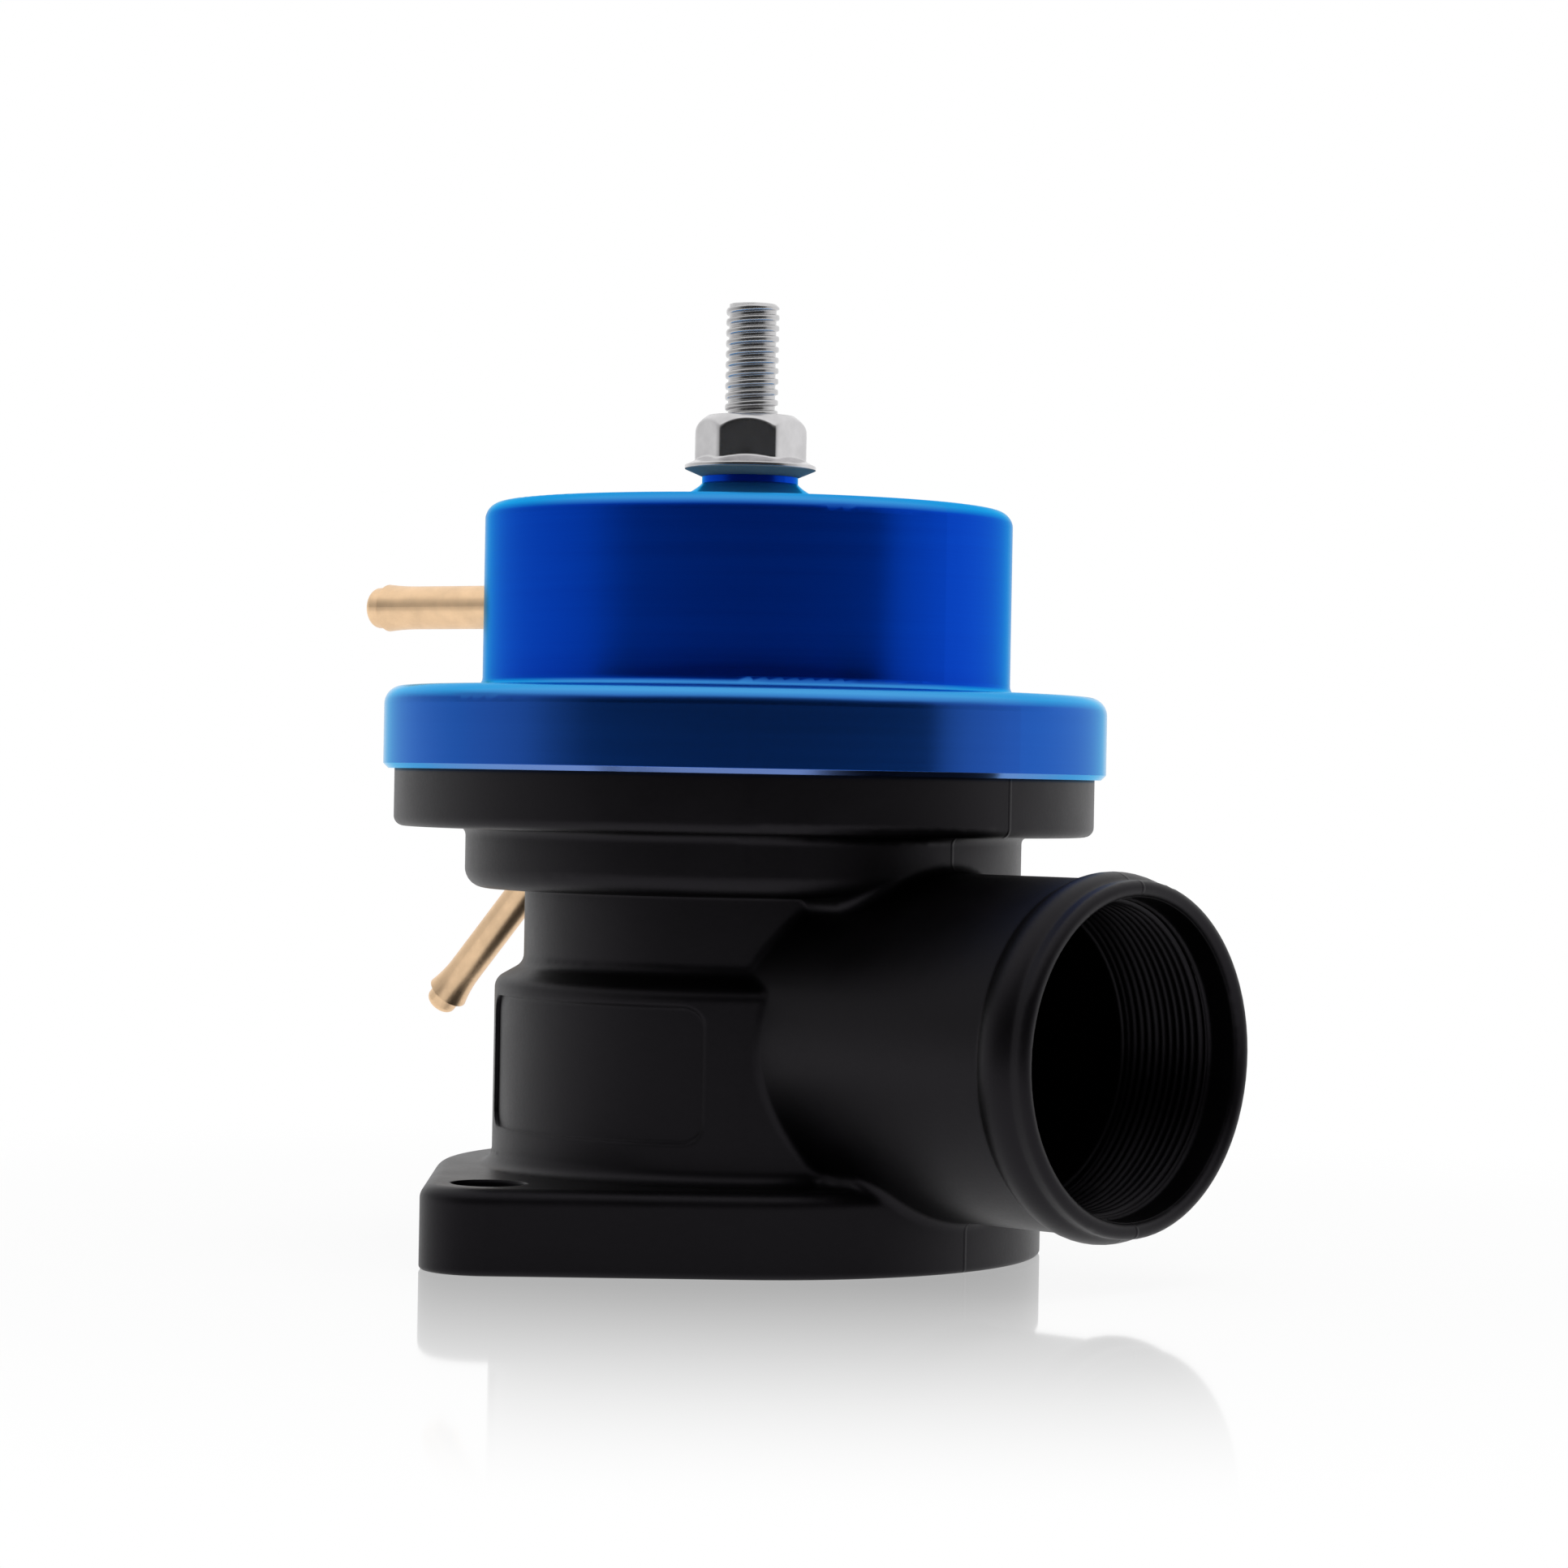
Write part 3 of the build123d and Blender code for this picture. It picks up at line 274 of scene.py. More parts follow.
def threaded_screw():
    """Adjusting screw with its real thread, pointed ends and a hexagon socket in its top."""
    low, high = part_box("adjusting_screw")
    crest = high.x

    def radius_at(depth, height):
        from_end = min(height - low.z, high.z - height)
        full = crest - SCREW_THREAD_DEPTH * (1 - depth)
        return min(full, SCREW_END_RADIUS + from_end)

    def build(bm):
        add_thread(bm, SCREW_PROFILE, low.z, high.z, SCREW_PITCH, radius_at, SCREW_COLUMNS)
        socket = hexagon(SCREW_SOCKET_FLATS)
        rim = hexagon(SCREW_SOCKET_RIM_FLATS)
        floor_of_socket = high.z - SCREW_SOCKET_DEPTH
        add_rings(bm, [ring(0, low.z, SCREW_COLUMNS), ring(SCREW_END_RADIUS, low.z, SCREW_COLUMNS)])
        add_rings(bm, [
            ring(SCREW_END_RADIUS, high.z, SCREW_COLUMNS),
            ring(rim, high.z, SCREW_COLUMNS),
            ring(socket, high.z - SCREW_SOCKET_CHAMFER, SCREW_COLUMNS),
            ring(socket, floor_of_socket, SCREW_COLUMNS),
            ring(0, floor_of_socket - SCREW_SOCKET_CONE, SCREW_COLUMNS),
        ])

    screw = mesh_object("adjusting_screw_threaded", build)
    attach(screw, "adjuster")
    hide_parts("adjusting_screw")
    return screw


def nut_outside(height):
    """Radius of the lock nut's outside as a function of the angle, at a height above its seat."""
    low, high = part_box("lock_nut")
    face = hexagon(NUT_FLATS, NUT_FACE_ANGLE)
    tall = high.z - low.z
    edge_top = NUT_FLANGE_RISE + NUT_FLANGE_EDGE
    corner = NUT_FLATS / math.sqrt(3)
    into_crown = max(0, height - (tall - NUT_CROWN_HEIGHT)) / NUT_CROWN_HEIGHT
    crown = corner - (corner - NUT_CROWN_RADIUS) * into_crown ** NUT_CROWN_BEND
    if height < NUT_FLANGE_RISE:
        flange = NUT_SEAT_RADIUS + (NUT_FLANGE_RADIUS - NUT_SEAT_RADIUS) * height / NUT_FLANGE_RISE
    elif height < edge_top:
        flange = NUT_FLANGE_RADIUS
    else:
        drop = (NUT_FLANGE_RADIUS - NUT_FLATS / 2) / NUT_FLANGE_SLOPE
        flange = NUT_FLANGE_RADIUS - drop * (height - edge_top)

    def radius_at(angle):
        if height < edge_top:
            return flange
        body = soft_min(face(angle), corner * NUT_CORNER_SHARE, NUT_EDGE_SOFTNESS)
        body = soft_min(body, crown, NUT_EDGE_SOFTNESS)
        return -soft_min(-body, -flange, NUT_EDGE_SOFTNESS)

    return radius_at


def flanged_nut():
    """Lock nut with rounded edges: hexagon, domed crown and wide flange."""
    low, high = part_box("lock_nut")
    tall = high.z - low.z
    levels = [level * MM for level in NUT_FLANGE_LEVELS]
    crown_start = tall - NUT_CROWN_HEIGHT
    levels += [levels[-1] + (crown_start - levels[-1]) * share for share in NUT_BODY_SHARES]
    levels += [crown_start + NUT_CROWN_HEIGHT * i / NUT_CROWN_STEPS for i in range(NUT_CROWN_STEPS + 1)]

    def build(bm):
        rings = [ring(nut_outside(level), low.z + level, NUT_COLUMNS) for level in levels]
        rings.append(ring(NUT_CROWN_RADIUS - NUT_ROUND_OVER, high.z, NUT_COLUMNS))
        rings.append(ring(NUT_BORE_RADIUS + NUT_BORE_CHAMFER, high.z, NUT_COLUMNS))
        rings.append(ring(NUT_BORE_RADIUS, high.z - NUT_BORE_CHAMFER, NUT_COLUMNS))
        rings.append(ring(NUT_BORE_RADIUS, low.z, NUT_COLUMNS))
        rings.append(rings[0])
        add_rings(bm, rings)

    nut = mesh_object("lock_nut_rounded", build)
    # Faces turned down take the second slot, the painted shade of the underside
    for face in nut.data.polygons:
        is_underside = face.normal.z < NUT_SHADED_UNDERSIDE_NORMAL
        face.material_index = int(is_underside)
    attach(nut, "locking_nut")
    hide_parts("lock_nut")
    return nut


def boss_root():
    """Low hollow cone between the boss and the cap's top."""
    def build(bm):
        rings = []
        for i in range(BOSS_ROOT_STEPS + 1):
            up = i / BOSS_ROOT_STEPS
            radius = BOSS_RADIUS + BOSS_ROOT_WIDTH * (1 - up) ** BOSS_ROOT_HOLLOW
            rings.append(ring(radius, BOSS_FOOT + BOSS_ROOT_HEIGHT * up, NUT_COLUMNS))
        inside = BOSS_RADIUS - BOSS_ROOT_SUNK
        rings.append(ring(inside, BOSS_FOOT + BOSS_ROOT_HEIGHT, NUT_COLUMNS))
        rings.append(ring(inside, BOSS_FOOT - BOSS_ROOT_SUNK, NUT_COLUMNS))
        rings.append(rings[0])
        add_rings(bm, rings)

    root = mesh_object("boss_root_curve", build)
    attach(root, "housing")
    return root


def outlet_thread():
    """Fine thread turns on the wall inside the outlet's mouth."""
    mount = next(m for m in frame["record"]["mounts"] if m["name"] == "outlet_thread")
    middle, _, height_of_axis = mount["pos_m"]
    wall = mount["dims"]["r_mm"] * MM + OUTLET_THREAD_SUNK
    half = mount["dims"]["length_mm"] * MM / 2 - OUTLET_THREAD_FREE_END
    start, end = middle - half, middle + half

    def radius_at(depth, height):
        from_end = min(height - start, end - height)
        return wall - min(OUTLET_THREAD_DEPTH * depth + OUTLET_THREAD_SUNK * 0.5, from_end)

    def build(bm):
        add_thread(bm, OUTLET_PROFILE, start, end, OUTLET_THREAD_PITCH, radius_at, OUTLET_THREAD_COLUMNS)
        add_rings(bm, [ring(wall, level, OUTLET_THREAD_COLUMNS) for level in (start, end)])
        lay_along_x = Matrix.Rotation(math.pi / 2, 4, "Y")
        bmesh.ops.transform(bm, matrix=lay_along_x, verts=bm.verts)
        bmesh.ops.translate(bm, vec=(0, 0, height_of_axis), verts=bm.verts)

    turns = mesh_object("outlet_thread_turns", build)
    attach(turns, "housing")
    return turns


def flexing_piece(node, name, start, end, cut=None):
    """Copy of a node, or of its part below or above a cut, that stands in for the hidden node."""
    source = frame["nodes"][node]
    piece = bpy.data.objects.new(name, source.data.copy())
    piece.matrix_world = source.matrix_world
    bpy.context.scene.collection.objects.link(piece)
    if cut is not None:
        bm = bmesh.new()
        bm.from_mesh(piece.data)
        geometry = [*bm.verts, *bm.edges, *bm.faces]
        bmesh.ops.bisect_plane(
            bm, geom=geometry, plane_co=(0, 0, cut), plane_no=(0, 0, 1),
            clear_outer=start < cut, clear_inner=end > cut,
        )
        bm.to_mesh(piece.data)
        bm.free()
    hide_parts(node)
    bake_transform(piece)
    return piece


def flexing_spring(node):
    """A spring in two parts that meet without a gap: the stem presses on one, the seat on the other."""
    low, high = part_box(node)
    still = low.z + (high.z - low.z) * SPRING_STILL_SHARE
    lower = flexing_piece(node, node + "_lower_coils", low.z, still, still)
    upper = flexing_piece(node, node + "_upper_coils", still, high.z, still)
    return lower, upper


class Finish:
    """One material: its shader, and short ways to add textures to it."""

    def __init__(self, name, color, metallic, roughness):
        self.material = bpy.data.materials.new(name)
        self.material.use_nodes = True
        self.nodes = self.material.node_tree.nodes
        self.links = self.material.node_tree.links
        self.shader = self.nodes["Principled BSDF"]
        self.shader.inputs["Base Color"].default_value = (*color, 1)
        self.shader.inputs["Metallic"].default_value = metallic
        self.shader.inputs["Roughness"].default_value = roughness
        self.place = self.nodes.new("ShaderNodeTexCoord").outputs["Object"]
        self.normal = None

    def join(self, source, target):
        """Links one socket to another."""
        self.links.new(source, target)

    def noise(self, scale, detail=3.0, rough=0.5, vector=None):
        """Noise value at a scale in features per metre."""
        node = self.nodes.new("ShaderNodeTexNoise")
        node.inputs["Scale"].default_value = scale
        node.inputs["Detail"].default_value = detail
        node.inputs["Roughness"].default_value = rough
        self.join(vector or self.place, node.inputs["Vector"])
        return node.outputs["Fac"]

    def spread(self, value, low, high, start=0.3, end=0.7):
        """A value brought from the range start to end into the range low to high."""
        node = self.nodes.new("ShaderNodeMapRange")
        node.inputs["From Min"].default_value = start
        node.inputs["From Max"].default_value = end
        node.inputs["To Min"].default_value = low
        node.inputs["To Max"].default_value = high
        self.join(value, node.inputs["Value"])
        return node.outputs["Result"]

    def math(self, operation, first, second=0):
        """Result of an operation. Each value is a number or another node's output."""
        node = self.nodes.new("ShaderNodeMath")
        node.operation = operation
        for socket, value in zip(node.inputs, (first, second)):
            if isinstance(value, (int, float)):
                socket.default_value = value
            else:
                self.join(value, socket)
        return node.outputs["Value"]

    def mix(self, value, first, second):
        """Colour mixed from two by a value. Each is a colour or another mix."""
        node = self.nodes.new("ShaderNodeMix")
        node.data_type = "RGBA"
        self.join(value, node.inputs[0])
        for socket, color in ((node.inputs[6], first), (node.inputs[7], second)):
            if isinstance(color, tuple):
                socket.default_value = (*color, 1)
            else:
                self.join(color, socket)
        return node.outputs[2]

    def color_from(self, color):
        """Base colour from a mix."""
        self.join(color, self.shader.inputs["Base Color"])

    def set(self, **values):
        """Constants on the shader's own sockets. Words in a name are joined by an underscore."""
        for name, value in values.items():
            self.shader.inputs[name.replace("_", " ")].default_value = value

    def roughness_from(self, value):
        """Roughness from a value."""
        self.join(value, self.shader.inputs["Roughness"])

    def soft_edges(self, radius):
        """Light catches sharp edges as if they were rounded by this radius."""
        node = self.nodes.new("ShaderNodeBevel")
        node.samples = EDGE_SAMPLES
        node.inputs["Radius"].default_value = radius
        self.normal = node.outputs["Normal"]
        self.join(self.normal, self.shader.inputs["Normal"])

    def bump(self, value, depth, strength=1.0):
        """Relief of a depth in metres, on top of what came before."""
        node = self.nodes.new("ShaderNodeBump")
        node.inputs["Strength"].default_value = strength
        node.inputs["Distance"].default_value = depth
        self.join(value, node.inputs["Height"])
        if self.normal is not None:
            self.join(self.normal, node.inputs["Normal"])
        self.normal = node.outputs["Normal"]
        self.join(self.normal, self.shader.inputs["Normal"])

    def split_place(self):
        """The place's x, y and z."""
        node = self.nodes.new("ShaderNodeSeparateXYZ")
        self.join(self.place, node.inputs["Vector"])
        return node.outputs

    def turned_place(self, stretch):
        """Place by radius, turn and height round the stem, so that marks run round the piece.

        stretch is the length that one radian of turn counts for: the smaller, the longer the marks.
        """
        x, y, z = self.split_place()
        squares = self.math("ADD", self.math("MULTIPLY", x, x), self.math("MULTIPLY", y, y))
        radius = self.math("SQRT", squares)
        angle = self.math("MULTIPLY", self.math("ARCTAN2", y, x), stretch)
        node = self.nodes.new("ShaderNodeCombineXYZ")
        for socket, value in zip(node.inputs, (radius, angle, z)):
            self.join(value, socket)
        return node.outputs["Vector"]


def black_casting(name, with_parting_line):
    """Satin black coat over a fine-grained casting."""
    finish = Finish(name, (0.001, 0.0009, 0.0011), 0.0, 0.42)
    finish.set(Specular_IOR_Level=0.24, Specular_Tint=(0.94, 0.88, 1.0, 1))
    clouds = finish.noise(90, detail=4)
    shade = finish.spread(clouds, 0, 1)
    finish.color_from(finish.mix(shade, (0.0004, 0.0003, 0.0005), (0.0014, 0.0012, 0.0016)))
    grain = finish.noise(2600, detail=5, rough=0.65)
    uneven = finish.math("ADD", finish.math("MULTIPLY", clouds, 0.6), finish.math("MULTIPLY", grain, 0.4))
    finish.roughness_from(finish.spread(uneven, 0.35, 0.46))
    finish.soft_edges(0.7 * MM)
    finish.bump(finish.noise(260), 0.04 * MM, strength=0.5)
    finish.bump(grain, 0.014 * MM, strength=0.7)
    if with_parting_line:
        x, y, z = finish.split_place()
        off = finish.math("ABSOLUTE", y)
        ridge = finish.spread(off, 1, 0, start=0.06 * MM, end=0.3 * MM)
        on_outlet = finish.spread(x, 0, 1, start=20 * MM, end=24 * MM)
        finish.bump(finish.math("MULTIPLY", ridge, on_outlet), 0.08 * MM, strength=0.6)
    return finish.material


def blue_anodised():
    """Deep blue anodised aluminium, turned: the flange is paler than the chamber above it. Faces turned up
    get a painted highlight and faces turned down painted light, both as paler colours.
    """
    finish = Finish("blue_anodised_turned", (0.0, 0.065, 0.5), 1.0, 0.3)
    finish.set(Anisotropic=0.8, Anisotropic_Rotation=0.25, Specular_Tint=(0.1, 0.75, 1.0, 1))
    finish.set(Coat_Roughness=0.16)
    tangent = finish.nodes.new("ShaderNodeTangent")
    tangent.direction_type = "RADIAL"
    tangent.axis = "Z"
    finish.join(tangent.outputs["Tangent"], finish.shader.inputs["Tangent"])
    x, y, z = finish.split_place()
    above = finish.spread(z, 0, 1, start=FLANGE_TOP - 0.3 * MM, end=FLANGE_TOP + 0.5 * MM)
    facing = finish.nodes.new("ShaderNodeSeparateXYZ")
    finish.join(finish.nodes.new("ShaderNodeNewGeometry").outputs["Normal"], facing.inputs["Vector"])
    painted_highlight_share = finish.spread(facing.outputs["Z"], 0, 1, *FACING_UP)
    level_top = finish.spread(facing.outputs["Z"], 0, 1, *LEVEL_TOP)
    painted_light_down_share = finish.spread(facing.outputs["Z"], 0, 1, *FACING_DOWN)
    marks = finish.noise(5200, rough=0.6, vector=finish.turned_place(0.2 * MM))
    bands = finish.noise(700, detail=2, vector=finish.turned_place(0.8 * MM))
    both = finish.math("ADD", finish.math("MULTIPLY", marks, 0.5), finish.math("MULTIPLY", bands, 0.5))
    tone = finish.spread(both, 0, 1)
    walls = finish.mix(above, finish.mix(tone, *FLANGE_SHADES), finish.mix(tone, *CHAMBER_SHADES))
    # Painted highlight: faces turned up are mixed toward a pale blue
    walls_with_painted_highlight = finish.mix(finish.math("MULTIPLY", painted_highlight_share, 0.75), walls, BLUE_PAINTED_HIGHLIGHT_UP)
    # Painted light: faces turned down are mixed toward a pale violet blue
    finish.color_from(finish.mix(finish.math("MULTIPLY", painted_light_down_share, 0.8), walls_with_painted_highlight, BLUE_PAINTED_LIGHT_DOWN))
    rough = finish.math("ADD", finish.spread(both, 0.19, 0.22), finish.math("MULTIPLY", above, 0.1))
    finish.roughness_from(rough)
    coat = finish.spread(above, 0.3, 0.05, start=0, end=1)
    finish.join(coat, finish.shader.inputs["Coat Weight"])
    finish.soft_edges(0.12 * MM)
    finish.bump(marks, 0.0005 * MM, strength=0.8)
    grooves = finish.noise(1900, detail=2, rough=0.6, vector=finish.turned_place(0.2 * MM))
    finish.bump(finish.math("MULTIPLY", grooves, level_top), 0.03 * MM, strength=0.8)
    return finish.material


def bare_metal(name, color, roughness, mark_depth, edge=0.08 * MM, metallic=1.0):
    """Machined metal with fine marks, soft edges and a little unevenness in its gloss."""
    finish = Finish(name, color, metallic, roughness)
    clouds = finish.noise(420)
    fine = finish.noise(4200, detail=4, rough=0.6)
    darker = tuple(part * 0.86 for part in color)
    finish.color_from(finish.mix(finish.spread(clouds, 0, 1), darker, color))
    finish.roughness_from(finish.spread(fine, roughness * 0.8, roughness * 1.25))
    if edge:
        finish.soft_edges(edge)
    finish.bump(fine, mark_depth, strength=0.8)
    return finish.material


def rubber():
    """Black moulded rubber with a fine grain."""
    finish = Finish("rubber_moulded", (0.018, 0.018, 0.019), 0.0, 0.7)
    grain = finish.noise(3000, detail=4, rough=0.6)
    shade = finish.spread(finish.noise(200), 0, 1)
    finish.color_from(finish.mix(shade, (0.013, 0.013, 0.014), (0.024, 0.024, 0.025)))
    finish.roughness_from(finish.spread(grain, 0.6, 0.8))
    finish.bump(grain, 0.015 * MM)
    return finish.material


def black_oxide():
    """Dark oxide coat on the cap's screws."""
    finish = Finish("black_oxide_steel", (0.03, 0.03, 0.033), 0.9, 0.4)
    grain = finish.noise(3500, detail=4, rough=0.6)
    shade = finish.spread(finish.noise(500), 0, 1)
    finish.color_from(finish.mix(shade, (0.02, 0.02, 0.022), (0.045, 0.045, 0.05)))
    finish.roughness_from(finish.spread(grain, 0.32, 0.48))
    finish.soft_edges(0.15 * MM)
    finish.bump(grain, 0.006 * MM)
    return finish.material


FINISHES = {
    "black_casting": black_casting("black_casting_coated", with_parting_line=True),
    "blue_anodised": blue_anodised(),
    "plain_aluminium": bare_metal("aluminium_machined", (0.68, 0.69, 0.71), 0.3, 0.004 * MM),
    "bright_steel": bare_metal("steel_bright", (0.66, 0.65, 0.66), 0.2, 0.0012 * MM),
    "stainless_steel": bare_metal("steel_ground", (0.58, 0.57, 0.55), 0.22, 0.002 * MM),
    "spring_steel": bare_metal("steel_spring", (0.24, 0.24, 0.25), 0.35, 0.004 * MM),
    "brass": bare_metal("brass_turned", (0.96, 0.675, 0.42), 0.34, 0.0004 * MM, edge=0),
    "bronze": bare_metal("bronze_sintered", (0.42, 0.26, 0.12), 0.42, 0.01 * MM),
    "rubber": rubber(),
    "black_screw": black_oxide(),
}


def dress(obj, *materials):
    """Gives a CAD node one material in all its slots, or a new piece its materials."""
    if not obj.material_slots:
        for material in materials:
            obj.data.materials.append(material)
    elif len(materials) == 1:
        for slot in obj.material_slots:
            slot.material = materials[0]


def seen_directly(nodes, links):
    """1 for what the camera or a reflection sees, and 0 for light that falls on things."""
    path = nodes.new("ShaderNodeLightPath")
    value = path.outputs["Is Camera Ray"]
    for other in ("Is Glossy Ray", "Is Transmission Ray"):
        add = nodes.new("ShaderNodeMath")
        add.use_clamp = True
        links.new(value, add.inputs[0])
        links.new(path.outputs[other], add.inputs[1])
        value = add.outputs["Value"]
    return value


def product(nodes, links, first, second):
    """Two values multiplied."""
    node = nodes.new("ShaderNodeMath")
    node.operation = "MULTIPLY"
    links.new(first, node.inputs[0])
    links.new(second, node.inputs[1])
    return node.outputs["Value"]


def map_range(nodes, links, value, start, end, low, high):
    """A value brought smoothly from the range start to end into the range low to high."""
    node = nodes.new("ShaderNodeMapRange")
    node.interpolation_type = "SMOOTHSTEP"
    for name, number in (("From Min", start), ("From Max", end), ("To Min", low), ("To Max", high)):
        node.inputs[name].default_value = number
    links.new(value, node.inputs["Value"])
    return node.outputs["Result"]


def studio_world():
    """White wherever it is seen, also in reflections, and a plain soft light."""
    world = bpy.data.worlds.new("studio")
    bpy.context.scene.world = world
    world.use_nodes = True
    nodes, links = world.node_tree.nodes, world.node_tree.links
    nodes.clear()
    room = nodes.new("ShaderNodeBackground")
    room.inputs["Color"].default_value = (1, 1, 1, 1)
    seen = seen_directly(nodes, links)
    links.new(map_range(nodes, links, seen, 0, 1, ROOM_LIGHT, 1), room.inputs["Strength"])
    out = nodes.new("ShaderNodeOutputWorld")
    links.new(room.outputs["Background"], out.inputs["Surface"])


def floor():
    """White glossy floor: it keeps a soft shadow and mirrors the base close by."""
    def build(bm):
        signs = [(-1, -1), (1, -1), (1, 1), (-1, 1)]
        bm.faces.new([bm.verts.new((x * FLOOR_HALF, y * FLOOR_HALF, -FLOOR_GAP)) for x, y in signs])

    ground = mesh_object("studio_floor", build)
    material = bpy.data.materials.new("floor_white")
    material.use_nodes = True
    nodes, links = material.node_tree.nodes, material.node_tree.links
    nodes.clear()
    place = nodes.new("ShaderNodeTexCoord")
    reach = nodes.new("ShaderNodeVectorMath")
    reach.operation = "LENGTH"
    links.new(place.outputs["Object"], reach.inputs[0])
    away = reach.outputs["Value"]
    diffuse = nodes.new("ShaderNodeBsdfDiffuse")
    diffuse.inputs["Color"].default_value = FLOOR_COLOR
    glow = nodes.new("ShaderNodeEmission")
    glow.inputs["Color"].default_value = (1, 1, 1, 1)
    whiter_away = map_range(nodes, links, away, *FLOOR_SHADE_REACH, FLOOR_WHITE_NEAR, 1)
    white = nodes.new("ShaderNodeMixShader")
    links.new(product(nodes, links, seen_directly(nodes, links), whiter_away), white.inputs["Fac"])
    links.new(diffuse.outputs["BSDF"], white.inputs[1])
    links.new(glow.outputs["Emission"], white.inputs[2])
    mirror = nodes.new("ShaderNodeBsdfGlossy")
    mirror.inputs["Color"].default_value = (1, 1, 1, 1)
    mirror.inputs["Roughness"].default_value = FLOOR_MIRROR_ROUGHNESS
    gloss = nodes.new("ShaderNodeFresnel")
    gloss.inputs["IOR"].default_value = FLOOR_MIRROR_IOR
    duller_away = map_range(nodes, links, away, *FLOOR_MIRROR_REACH, 1, 0)
    mix = nodes.new("ShaderNodeMixShader")
    links.new(product(nodes, links, gloss.outputs["Fac"], duller_away), mix.inputs["Fac"])
    links.new(white.outputs["Shader"], mix.inputs[1])
    links.new(mirror.outputs["BSDF"], mix.inputs[2])
    out = nodes.new("ShaderNodeOutputMaterial")
    links.new(mix.outputs["Shader"], out.inputs["Surface"])
    ground.data.materials.append(material)


def dark_screen():
    """Dark curved screen on the camera's side. Only reflections show it."""
    levels = []

    def build(bm):
        back = Vector((math.sin(CAMERA_AZIMUTH), -math.cos(CAMERA_AZIMUTH), 0))
        side = Vector((math.cos(CAMERA_AZIMUTH), math.sin(CAMERA_AZIMUTH), 0))
        rows = []
        for height, gain, lift in (*SCREEN_ROWS, (SCREEN_TOP, 1, 1)):
            row = []
            for degrees, level in SCREEN_LEVELS:
                turn = math.radians(degrees)
                around = back * math.cos(turn) + side * math.sin(turn)
                row.append(bm.verts.new(around * SCREEN_RADIUS + Vector((0, 0, height))))
                levels.append(min(level * gain + lift, 1))
            rows.append(row)
        for lower, upper in zip(rows, rows[1:]):
            for i in range(len(lower) - 1):
                bm.faces.new((lower[i], lower[i + 1], upper[i + 1], upper[i]))

    screen = mesh_object("studio_screen", build)
    screen.data.attributes.new("level", "FLOAT", "POINT").data.foreach_set("value", levels)
    material = bpy.data.materials.new("screen_dark")
    material.use_nodes = True
    nodes, links = material.node_tree.nodes, material.node_tree.links
    nodes.clear()
    level = nodes.new("ShaderNodeAttribute")
    level.attribute_name = "level"
    glow = nodes.new("ShaderNodeEmission")
    glow.inputs["Color"].default_value = (1, 1, 1, 1)
    links.new(level.outputs["Fac"], glow.inputs["Strength"])
    out = nodes.new("ShaderNodeOutputMaterial")
    links.new(glow.outputs["Emission"], out.inputs["Surface"])
    screen.data.materials.append(material)
    screen.visible_camera = False
    screen.visible_diffuse = False
    screen.visible_transmission = False
    screen.visible_shadow = False


def softbox(name, place, target, width, depth, watts):
    """Area lamp aimed at a point. Reflections don't show it."""
    data = bpy.data.lights.new(name, "AREA")
    data.shape = "RECTANGLE"
    data.size, data.size_y = width, depth
    data.energy = watts
    lamp = bpy.data.objects.new(name, data)
    bpy.context.scene.collection.objects.link(lamp)
    lamp.location = place
    lamp.visible_glossy = False
    lamp.rotation_mode = "QUATERNION"
    lamp.rotation_quaternion = (Vector(target) - Vector(place)).to_track_quat("-Z", "Y")


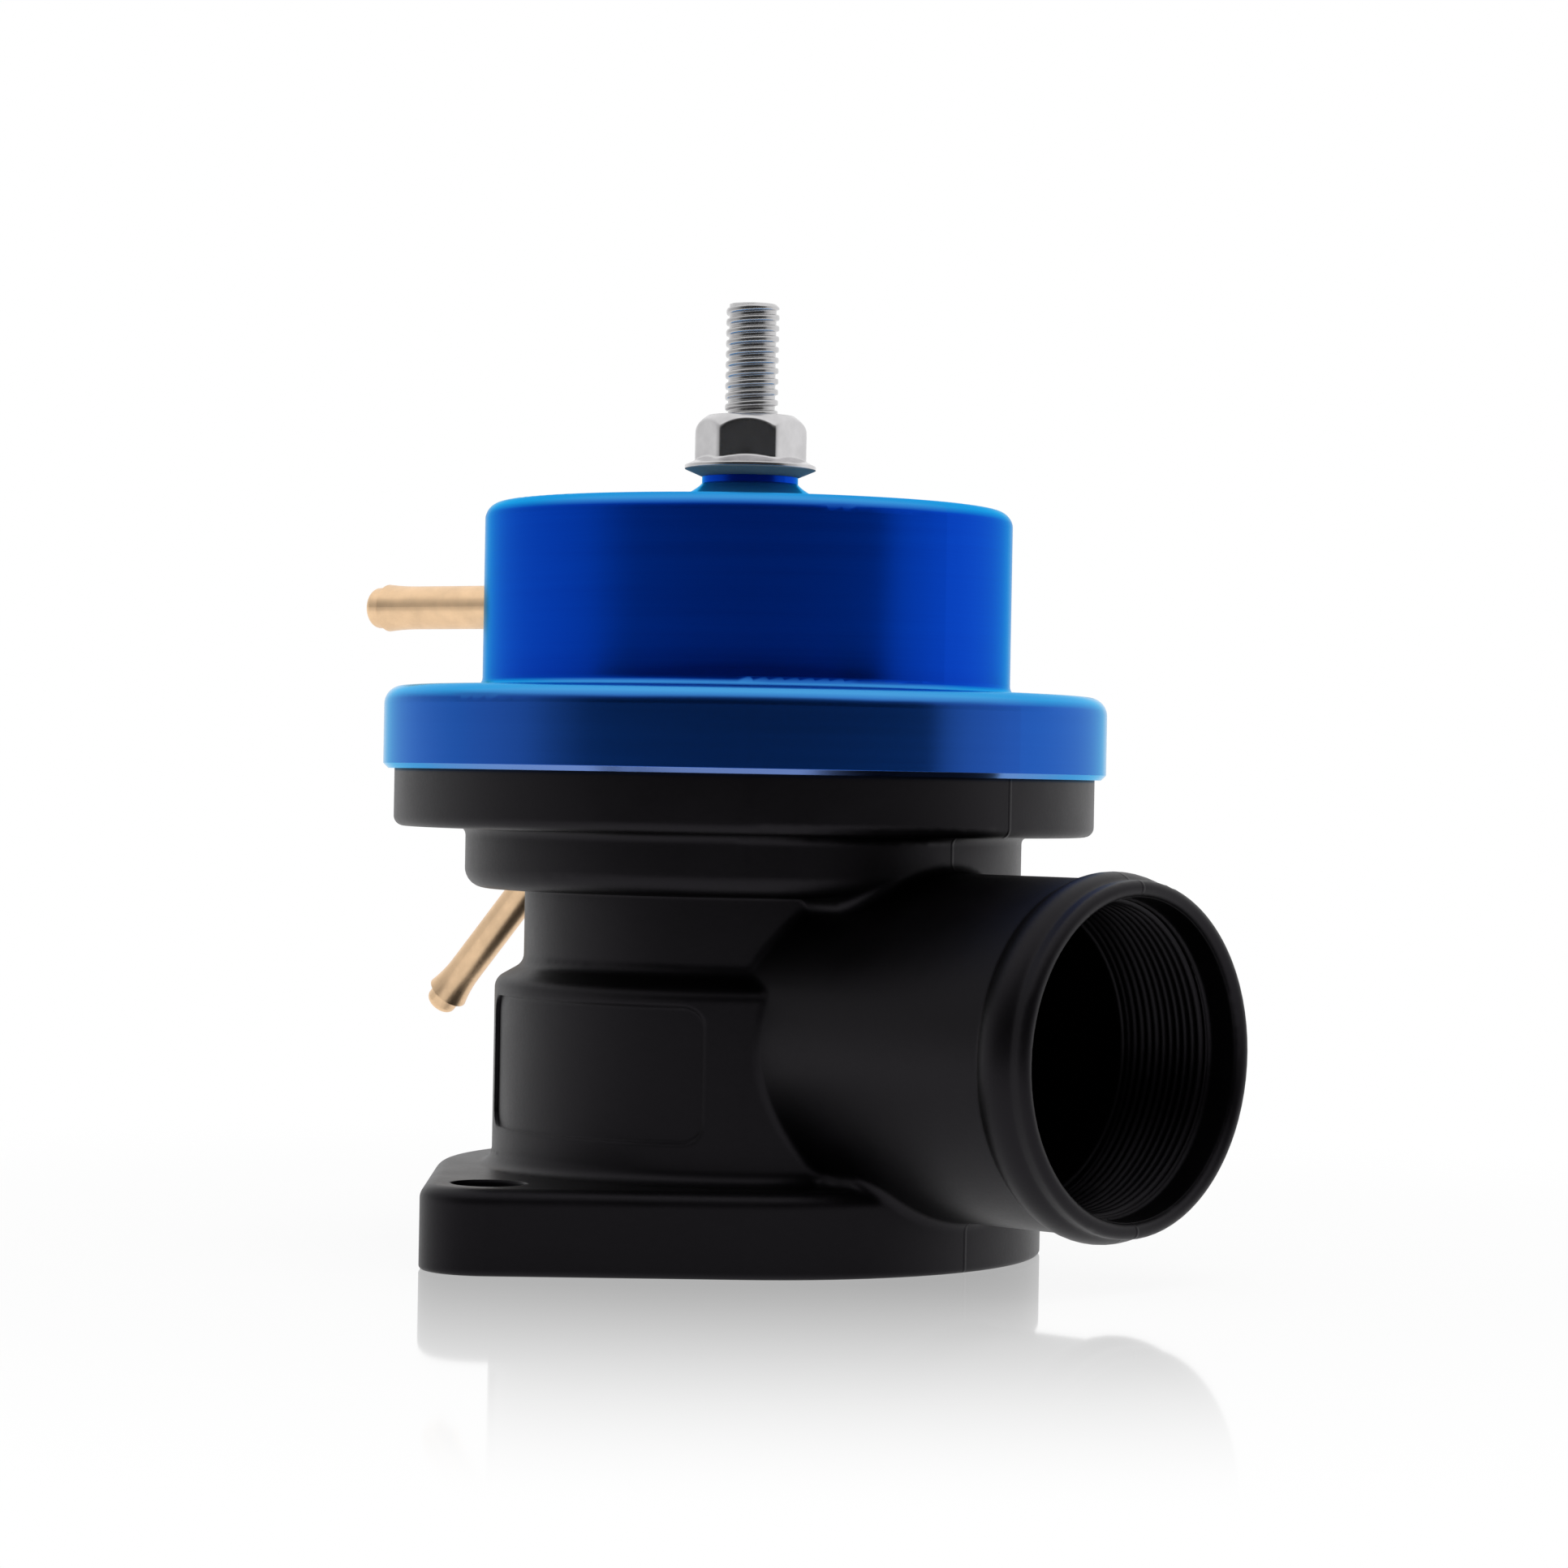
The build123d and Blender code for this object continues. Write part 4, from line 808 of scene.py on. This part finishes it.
def photograph_camera():
    """Camera at the photograph's place, aimed and rolled as its features ask."""
    ahead = Vector((-math.sin(CAMERA_AZIMUTH), math.cos(CAMERA_AZIMUTH), 0))
    side = Vector((math.cos(CAMERA_AZIMUTH), math.sin(CAMERA_AZIMUTH), 0))
    up = Vector((0, 0, 1))
    forward = (ahead * FOCAL_PIXELS + side * AIM_RIGHT_PIXELS - up * AIM_DOWN_PIXELS).normalized()
    right = forward.cross(up).normalized()
    level_up = right.cross(forward)
    camera_up = level_up * math.cos(CAMERA_ROLL) - right * math.sin(CAMERA_ROLL)
    camera_right = forward.cross(camera_up)
    data = bpy.data.cameras.new("camera")
    data.sensor_width = SENSOR_WIDTH_IN_MM
    data.lens = FOCAL_PIXELS / PHOTO_SIZE * SENSOR_WIDTH_IN_MM
    data.clip_start = 10 * MM
    camera = bpy.data.objects.new("camera", data)
    turn = Matrix((camera_right, camera_up, -forward)).transposed()
    camera.matrix_world = Matrix.Translation(-ahead * CAMERA_DISTANCE + up * CAMERA_HEIGHT) @ turn.to_4x4()
    bpy.context.scene.collection.objects.link(camera)
    bpy.context.scene.camera = camera


for name, node in frame["nodes"].items():
    dress(node, FINISHES[slot_of[name]])

rolled_steel = bare_metal("steel_rolled_thread", (0.60, 0.595, 0.60), 0.22, 0.0006 * MM, edge=0)
dress(threaded_screw(), rolled_steel)
# Dull, rough, warm-tinted steel for the nut's underside: painted shade, its warm tint set against the blue
# light from the cap below
underside_painted_shade = bare_metal("steel_dull_seat", (0.50, 0.40, 0.30), 0.7, 0.01 * MM, metallic=0.2)
dress(flanged_nut(), FINISHES["bright_steel"], underside_painted_shade)
dress(boss_root(), FINISHES["blue_anodised"])
dress(outlet_thread(), black_casting("black_casting_thread", with_parting_line=False))
for coils in (*flexing_spring("outer_spring"), *flexing_spring("inner_spring")):
    dress(coils, FINISHES["spring_steel"])
disc_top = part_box("lower_diaphragm_plate")[1].z + DIAPHRAGM_THICKNESS
rim_underside = disc_top + DIAPHRAGM_RISE_TO_RIM
dress(
    flexing_piece("diaphragm", "diaphragm_flexing", disc_top, rim_underside),
    FINISHES["rubber"],
)

studio_world()
floor()
dark_screen()
softbox("top_light", LAMP_PLACE, LAMP_TARGET, LAMP_WIDTH, LAMP_DEPTH, LAMP_WATTS)
photograph_camera()
bpy.context.scene.view_settings.view_transform = "Standard"
